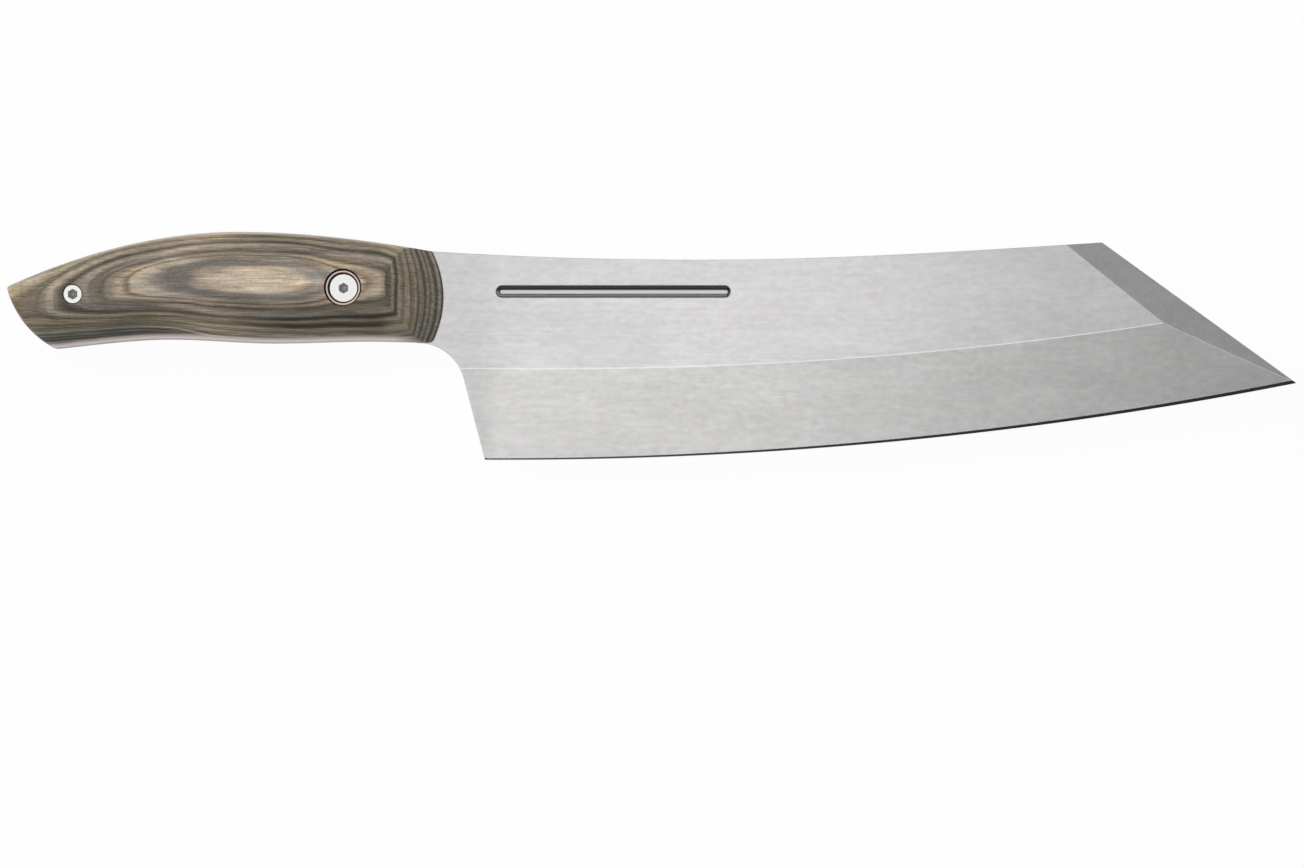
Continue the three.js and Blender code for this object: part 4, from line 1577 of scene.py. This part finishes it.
@dataclass
class Scale:
    """One laminated wood scale, carved to a crown, with a sloping front."""

    outline: Outline
    face: float = 1.5  # height of its flat back above the middle of the steel
    thickness: float = 9.0
    crown_from_butt: float = 64.0
    crown_radius: Pair = (590.0, 820.0)
    ridge_share: float = 0.58
    fall_power: float = 2.2
    back_fall: Triple = (3.5, 4.4, 3.0)  # at the butt, the crown and the front
    belly_fall: Triple = (6.0, 6.2, 5.0)
    butt_fall: float = 0.3
    butt_blend: float = 2.5
    belly_rim: Pair = (1.6, 2.7)  # width and depth of each rim's rounding
    back_rim: Pair = (1.0, 1.5)
    butt_rim: Pair = (0.5, 0.8)
    rim_share: float = 0.86
    rim_crowding: float = 1.8
    facet_length: float = 15.6
    facet_lip: float = 0.6
    facet_round: float = 0.18
    facet_bow: float = 1.0  # how far the start of the slope bows back at its ends
    facet_cells: tuple[int, int] = (48, 64)
    barrel_gap: float = 0.15
    seat_gap: float = 0.05
    cells: tuple[int, int] = (230, 96)
    rim_cells: int = 12
    smooth: float = 12.0

    def crown(self, x: Values) -> Values:
        """Height of the crown line above the back."""
        radius = np.where(x < self.crown_from_butt, *self.crown_radius)
        return self.thickness - (x - self.crown_from_butt) ** 2 / (2 * radius)

    def side_fall(self, x: Values, falls: Triple) -> Values:
        """How far the face falls from the crown to one side."""
        return np.interp(x, (0.0, self.crown_from_butt, self.outline.handle_length), falls)

    def dome(self, x: Values, y: Values) -> Values:
        """Finds the height of the carved face, without its rim and its sloping front.

        Args:
            x: Places along the handle.
            y: Places up the handle.

        Returns:
            The height above the scale's flat back.
        """
        outline = self.outline
        top = np.interp(x, outline.back[:, 0], outline.back[:, 1])
        bottom = np.interp(x, outline.underside[:, 0], outline.underside[:, 1])
        ridge = lerp(bottom, top, self.ridge_share)
        above = y > ridge
        share = np.where(above, (y - ridge) / (top - ridge), (ridge - y) / (ridge - bottom))
        fall = np.where(above, self.side_fall(x, self.back_fall), self.side_fall(x, self.belly_fall))
        across = fall * np.clip(share, 0, 1) ** self.fall_power
        from_butt = np.maximum(0, x - np.interp(y, outline.butt[:, 1], outline.butt[:, 0]))
        lengthwise = self.butt_fall * np.maximum(0, 1 - from_butt / self.butt_blend) ** 2
        return self.crown(x) - np.hypot(across, lengthwise)

    def rimmed(self, x: Values, y: Values, insets: Sequence[Values]) -> Values:
        """Finds the height of the face with its rims rounded.

        Args:
            x: Places along the handle.
            y: Places up the handle.
            insets: Distances in from the belly, the back and the butt.

        Returns:
            The height above the scale's flat back.
        """
        height = self.dome(x, y)
        drop = np.zeros_like(height)
        for inset, (width, depth) in zip(insets, (self.belly_rim, self.back_rim, self.butt_rim)):
            share = np.maximum(0, 1 - inset / width)
            drop = np.maximum(drop, np.minimum(depth, self.rim_share * height) * (1 - np.sqrt(1 - share**2)))
        return height - drop

    def facet(self, x: Values, y: Values) -> Values:
        """Finds the height of the sloping front.

        Args:
            x: Places along the handle.
            y: Places up the handle.

        Returns:
            The height above the scale's flat back.
        """
        front = self.outline.front_x(y)
        bow = (self.outline.handle_length - front) / self.outline.front_bulge * self.facet_bow
        start = self.outline.handle_length - self.facet_length
        share = (x - start + bow) / (front - start + bow)
        late = 1 - self.facet_round + self.facet_round * np.abs(share)
        return lerp(self.crown(np.array(start)), self.facet_lip, share * late)

    def spread(self, share: Values, cells: int, rim_start: float, rim_end: float) -> Values:
        """Draws even shares closer together inside the rims.

        Args:
            share: Even shares of the way across.
            cells: Cells between the rims.
            rim_start: Share that the first rim takes.
            rim_end: Share that the last rim takes, or 0.

        Returns:
            The shares, crowded towards the outline in each rim.
        """
        crowd = np.linspace(0, 1, self.rim_cells + 1) ** self.rim_crowding
        stops = [crowd[:-1] * rim_start, np.linspace(rim_start, 1 - rim_end, cells + 1)]
        if rim_end > 0:
            stops.append(1 - crowd[-2::-1] * rim_end)
        rows = np.concatenate(stops)
        return np.interp(share, np.linspace(0, 1, len(rows)), rows)

    def patch(self, u: Values, v: Values) -> Points:
        """Finds places inside the outline.

        Args:
            u: Shares of the way from butt to front.
            v: Shares of the way from belly to back.

        Returns:
            The places.
        """
        sides = self.outline.scale_sides()
        low, high = along(sides["belly"], u), along(sides["back"], u)
        rear, front = along(sides["butt"], v), along(sides["front"], v)
        u, v = u[:, None], v[:, None]
        foot, head = (lerp(sides[side][0], sides[side][-1], u) for side in ("belly", "back"))
        return lerp(low, high, v) + lerp(rear, front, u) - lerp(foot, head, v)

    def carve(self, u: Values, v: Values) -> Points:
        """Places the carved face over the outline.

        Args:
            u: Even shares of the way from butt to front.
            v: Even shares of the way from belly to back.

        Returns:
            The places.
        """
        low, high = (rim[0] / self.outline.grip_height for rim in (self.belly_rim, self.back_rim))
        u = self.spread(u, self.cells[0], self.butt_rim[0] / self.outline.handle_length, 0)
        v = self.spread(v, self.cells[1], low, high)
        place = self.patch(u, v)
        edges = (self.patch(u, 0 * v), self.patch(u, 0 * v + 1), self.patch(0 * u, v))
        insets = [np.linalg.norm(place - edge, axis=1) for edge in edges]
        return np.column_stack([place, self.face + self.rimmed(place[:, 0], place[:, 1], insets)])

    def facet_tool(self) -> Thing:
        """Makes the tool that takes what lies above the sloping front.

        Returns:
            The tool.
        """
        outline = self.outline
        end, low = outline.handle_length, outline.grip_clearance
        length = (end - self.facet_length - OVERCUT, end + OVERCUT)
        height = (low - outline.butt_beak - OVERCUT, low + outline.grip_height + OVERCUT)

        def place(u: Values, v: Values) -> Points:
            """Places the tool's cutting face along the handle and across it."""
            x, y = lerp(*length, u), lerp(*height, v)
            return np.column_stack([x, y, self.face + self.facet(x, y)])

        tool = sheet_solid("facet_tool", self.facet_cells, place, 4 * OVERCUT)
        tidy_mesh()
        return tool

    def build(self, fasteners: Iterable[Fastener], wood: Material, recess: Material) -> Thing:
        """Models the right scale.

        Args:
            fasteners: The fasteners that it is drilled and recessed for.
            wood: The material that it is dressed in.
            recess: Finish of the recesses, a dark painted shade.

        Returns:
            The scale, in millimetres.
        """
        cells = (self.cells[0] + self.rim_cells, self.cells[1] + 2 * self.rim_cells)
        scale = sheet_solid("right_grip_scale", cells, self.carve, -4 * OVERCUT)
        bpy.ops.transform.resize(value=(1, 1, 0), center_override=(0, 0, self.face))
        bpy.ops.mesh.dissolve_faces()
        tidy_mesh()
        dressed(scale, wood)
        cut(scale, self.facet_tool())
        for fastener in fasteners:
            cut(scale, fastener.hole(self.barrel_gap, 3 * OVERCUT))
            cut(scale, dressed(fastener.pocket(self.seat_gap, 3 * OVERCUT), recess))
        shade(scale, self.smooth)
        return scale


@dataclass
class Hardware:
    """The two screws and collars of each side's fasteners."""

    scale: Scale
    front_setback: float = 26.6
    front_rise: float = 14.7
    front_head: float = 7.45
    front_thickness: float = 1.35
    front_shank: float = 3.9
    front_barrel: float = 6.0
    collar: float = 9.25
    collar_height: float = 2.4
    collar_floor: float = 0.8
    rear_inset: float = 17.7
    rear_rise: float = 13.0
    rear_head: float = 5.0
    rear_thickness: float = 1.3
    rear_shank: float = 2.6
    rear_barrel: float = 4.0
    socket: float = 2.5
    socket_floor: float = 0.45
    drill_point: float = 130.0
    chamfer: float = 0.12
    collar_chamfer: float = 0.1
    shank_end: float = 0.8
    recess: float = 0.35
    seat_gap: float = 0.05
    thread_gap: float = 0.15
    head_gap: float = 0.4
    front_play: Pair = (0.15, -0.1)  # how far the front screw sits off centre in its collar
    front_wood: Pair = (0.36, 0.09)  # clearance in the wood, and how far it lies off centre
    rear_wood: Pair = (0.13, 0.05)
    rim: tuple[float, int, float] = (0.06, 3, 25.0)  # width, segments and least angle of the rounded edges
    smooth: float = 20.0
    steps: int = 96

    def seat(self, at: Pair, height: float) -> float:
        """Level that a part of a given height is drawn down on."""
        crown = float(self.scale.dome(np.array(at[0]), np.array(at[1])))
        return self.scale.face + crown - self.recess - height

    def front(self) -> Fastener:
        """Gives the front fastener, whose head sits in a collar.

        Returns:
            The fastener.
        """
        outline = self.scale.outline
        at = (outline.handle_length - self.front_setback, outline.grip_clearance + self.front_rise)
        sizes = (self.front_head, self.front_thickness, self.front_shank, self.front_barrel, self.collar)
        return Fastener(Place.FRONT, at, *sizes, self.seat(at, self.collar_height), self.front_wood)

    def rear(self) -> Fastener:
        """Gives the rear fastener, whose head sits in the wood.

        Returns:
            The fastener.
        """
        at = (self.rear_inset, self.scale.outline.grip_clearance + self.rear_rise)
        sizes = (self.rear_head, self.rear_thickness, self.rear_shank, self.rear_barrel, self.rear_head)
        return Fastener(Place.REAR, at, *sizes, self.seat(at, self.rear_thickness), self.rear_wood)

    def eased(self, part: Thing) -> Thing:
        """Softens and smooths a turned part.

        Args:
            part: The part.

        Returns:
            The same part.
        """
        soften(part, *self.rim)
        shade(part, self.smooth)
        return part

    def screw(self, fastener: Fastener, seat: float, face: Material, socket: Material) -> Thing:
        """Turns a screw and sinks its hex socket, which starts as a drilled hole.

        Args:
            fastener: The fastener that it belongs to.
            seat: Level of the underside of its head.
            face: Its finish.
            socket: Finish of its socket, toned dark as painted shade.

        Returns:
            The right side's screw, about its own axis.
        """
        top, head, shank = seat + fastener.thickness, fastener.head / 2, fastener.shank / 2
        profile = [
            (0.0, self.shank_end),
            (shank, self.shank_end),
            (shank, seat),
            (head, seat),
            (head, top - self.chamfer),
            (head - self.chamfer, top),
            (0.0, top),
        ]
        screw = dressed(spun(f"{fastener.place.value}_screw", profile, self.steps), face)
        floor, clear, half = seat + self.socket_floor, top + OVERCUT, self.socket / 2
        corners = 2 * self.socket / math.sqrt(3)
        cut(screw, dressed(drum("hex_tool", corners, (floor, clear), (0, 0), sides=6), socket))
        point = half / math.tan(math.radians(self.drill_point / 2))
        drill = [(0.0, floor - point), (half, floor), (half, clear), (0.0, clear)]
        cut(screw, dressed(spun("drill_tool", drill, self.steps), socket))
        return self.eased(screw)

    def ring(self, fastener: Fastener, face: Material, bore: Material) -> Thing:
        """Turns the collar round the front screw's head and bores it out.

        Args:
            fastener: The front fastener.
            face: Its finish.
            bore: Finish of its bore, a dark painted shade.

        Returns:
            The right side's collar, about its own axis.
        """
        outer, inner = self.collar / 2, self.front_head / 2 + self.head_gap
        hole = self.front_shank / 2 + self.thread_gap
        low, top = fastener.seat, fastener.seat + self.collar_height
        profile = [
            (hole, low),
            (outer, low),
            (outer, top - self.collar_chamfer),
            (outer - self.collar_chamfer, top),
            (hole, top),
            (hole, low),
        ]
        collar = dressed(spun("front_collar", profile, self.steps), face)
        levels = (low + self.collar_floor, top + OVERCUT)
        cut(collar, dressed(drum("bore_tool", 2 * inner, levels, (0, 0), self.steps), bore))
        return self.eased(collar)

    def fit(self, part: Thing, stem: str, at: Pair, slot: Slot, settling: Settling) -> None:
        """Puts a part on both sides of the handle.

        Args:
            part: The right side's part, about its own axis.
            stem: The part's name without its side.
            at: Place of its axis.
            slot: Its material slot.
            settling: Where the knife lies in the frame.
        """
        for side in Side:
            piece = copied(part, f"{side.value}_{stem}")
            if side is Side.LEFT:
                edit(piece)
                bpy.ops.transform.rotate(value=math.pi, orient_axis="X", center_override=(0, 0, 0))
            shift(piece, (*at, 0))
            settling.settle(piece, slot, f"{stem}_{side.value}")
        bpy.data.objects.remove(part)


@dataclass(frozen=True)
class Softbox:
    """A soft rectangular light over the knife."""

    name: str
    at: Triple  # its middle, in metres
    size: Pair
    power: float
    aside: bool = True  # turned to the knife and not mirrored in it, or facing straight down

    def hang(self) -> None:
        """Hangs the light out of the camera's sight."""
        deselect()
        bpy.ops.object.light_add(type="AREA", location=self.at)
        lamp = bpy.context.active_object
        lamp.name = self.name
        lamp.data.shape = "RECTANGLE"
        lamp.data.size, lamp.data.size_y = self.size
        lamp.data.energy = self.power
        lamp.visible_camera = False
        if self.aside:
            lamp.visible_glossy = False
            lamp.rotation_euler = Vector(self.at).to_track_quat("Z", "Y").to_euler()


@dataclass
class Studio:
    """Floor, soft lights and camera."""

    floor_radius: float = 8.0
    floor_lip: float = 1.0
    floor_sides: int = 96
    world: float = 0.12
    walls: float = 0.75  # how pale the walls look
    wall_top: Pair = (0.6, 0.86)  # sines of the heights at which they start and end to fade
    lamps: tuple[Softbox, ...] = (
        Softbox("top_softbox", (-0.395, 0.0, 2.0), (1.43, 1.2), 7.2, aside=False),
        Softbox("key_softbox", (-1.23, 1.03, 1.5), (2.0, 1.6), 36.0),
        Softbox("fill_softbox", (0.33, -1.87, 0.62), (1.6, 1.0), 8.0),
    )
    camera_height: float = 6.0
    frame_width: float = 0.34676
    camera_at: Pair = (0.0, -0.02344)
    blade_level: float = 0.0105

    def floor(self) -> None:
        """Lays a wide round sweep with a low lip under the knife."""
        deselect()
        bpy.ops.mesh.primitive_circle_add(
            vertices=self.floor_sides, radius=self.floor_radius, fill_type="NGON"
        )
        floor = named("studio_floor")
        edit(floor)
        extrude((0, 0, self.floor_lip))
        bpy.ops.mesh.delete(type="ONLY_FACE")
        bpy.ops.object.mode_set(mode="OBJECT")
        dressed(floor, PaleFloor().material())

    def room(self) -> None:
        """Lights the room evenly all round, with pale walls that the camera and the metal see."""
        graph = Graph(bpy.data.worlds.new("studio"), "ShaderNodeOutputWorld")
        height = graph.split(graph.add("ShaderNodeTexCoord").outputs["Generated"])[2]
        walls = graph.between(height, self.wall_top, (self.walls, self.world), "SMOOTHSTEP")
        rays = graph.add("ShaderNodeLightPath").outputs
        seen = graph.math("MAXIMUM", rays["Is Camera Ray"], rays["Is Glossy Ray"])
        light = {"Color": WHITE, "Strength": graph.mixed(seen, self.world, walls)}
        bpy.context.scene.world = graph.finish(graph.add("ShaderNodeBackground", light).outputs[0])

    def camera(self) -> None:
        """Looks straight down on the knife's right side."""
        deselect()
        place = (*self.camera_at, self.blade_level + self.camera_height)
        bpy.ops.object.camera_add(location=place, rotation=(0, 0, 0))
        camera = bpy.context.active_object
        camera.name = "photo_camera"
        camera.data.sensor_fit = "HORIZONTAL"
        camera.data.lens = camera.data.sensor_width * self.camera_height / self.frame_width
        bpy.context.scene.camera = camera

    def build(self) -> None:
        """Sets up the whole studio."""
        bpy.context.scene.view_settings.view_transform = "Standard"
        self.floor()
        for lamp in self.lamps:
            lamp.hang()
        self.room()
        self.camera()


def main() -> None:
    """Builds the knife's pieces in order, dresses them and sets up the studio."""
    logging.basicConfig(level=logging.INFO, format="%(name)s: %(message)s")
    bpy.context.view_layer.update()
    outline = Outline()
    settling = Settling(outline)
    scale = Scale(outline)
    hardware = Hardware(scale)
    front, rear = hardware.front(), hardware.rear()

    blade = Blade(outline).build((front, rear))
    settling.settle(blade, Slot.BLADE, "blade")

    underside = tuple((float(x), float(y)) for x, y in outline.underside[::UNDERSIDE_STRIDE])
    wood = LaminatedWood("laminated_wood", tuple(settling.shift / MM), PLIES, underside).material()
    gap_shade = GAP_SHADE.material()
    right = scale.build((front, rear), wood, gap_shade)
    left = flipped(right, "left_grip_scale")
    settling.settle(right, Slot.WOOD, "scale_right")
    settling.settle(left, Slot.WOOD, "scale_left")

    axes = {fastener.place: settling.shift + Vector((*fastener.at, 0)) * MM for fastener in (front, rear)}
    socket = SOCKET_SHADED_STEEL.material()
    collar = hardware.ring(front, COLLAR_STEEL.material(axes[Place.FRONT]), gap_shade)
    hardware.fit(collar, "front_collar", front.at, Slot.COLLAR, settling)
    head_seat = front.seat + hardware.collar_floor + hardware.seat_gap
    front_screw = hardware.screw(front, head_seat, SCREW_STEEL.material(axes[Place.FRONT]), socket)
    seated = (front.at[0] + hardware.front_play[0], front.at[1] + hardware.front_play[1])
    hardware.fit(front_screw, "front_screw", seated, Slot.SCREW, settling)
    rear_screw = hardware.screw(rear, rear.seat, SCREW_STEEL.material(axes[Place.REAR]), socket)
    hardware.fit(rear_screw, "rear_screw", rear.at, Slot.SCREW, settling)

    tube = BARREL_STEEL.material()
    for node in ("front_barrel", "rear_barrel"):
        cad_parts[node].data.materials.clear()
        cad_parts[node].data.materials.append(tube)
        log.info("%s: packed node, refinished", node)

    Studio().build()


if __name__ == "__main__":
    main()
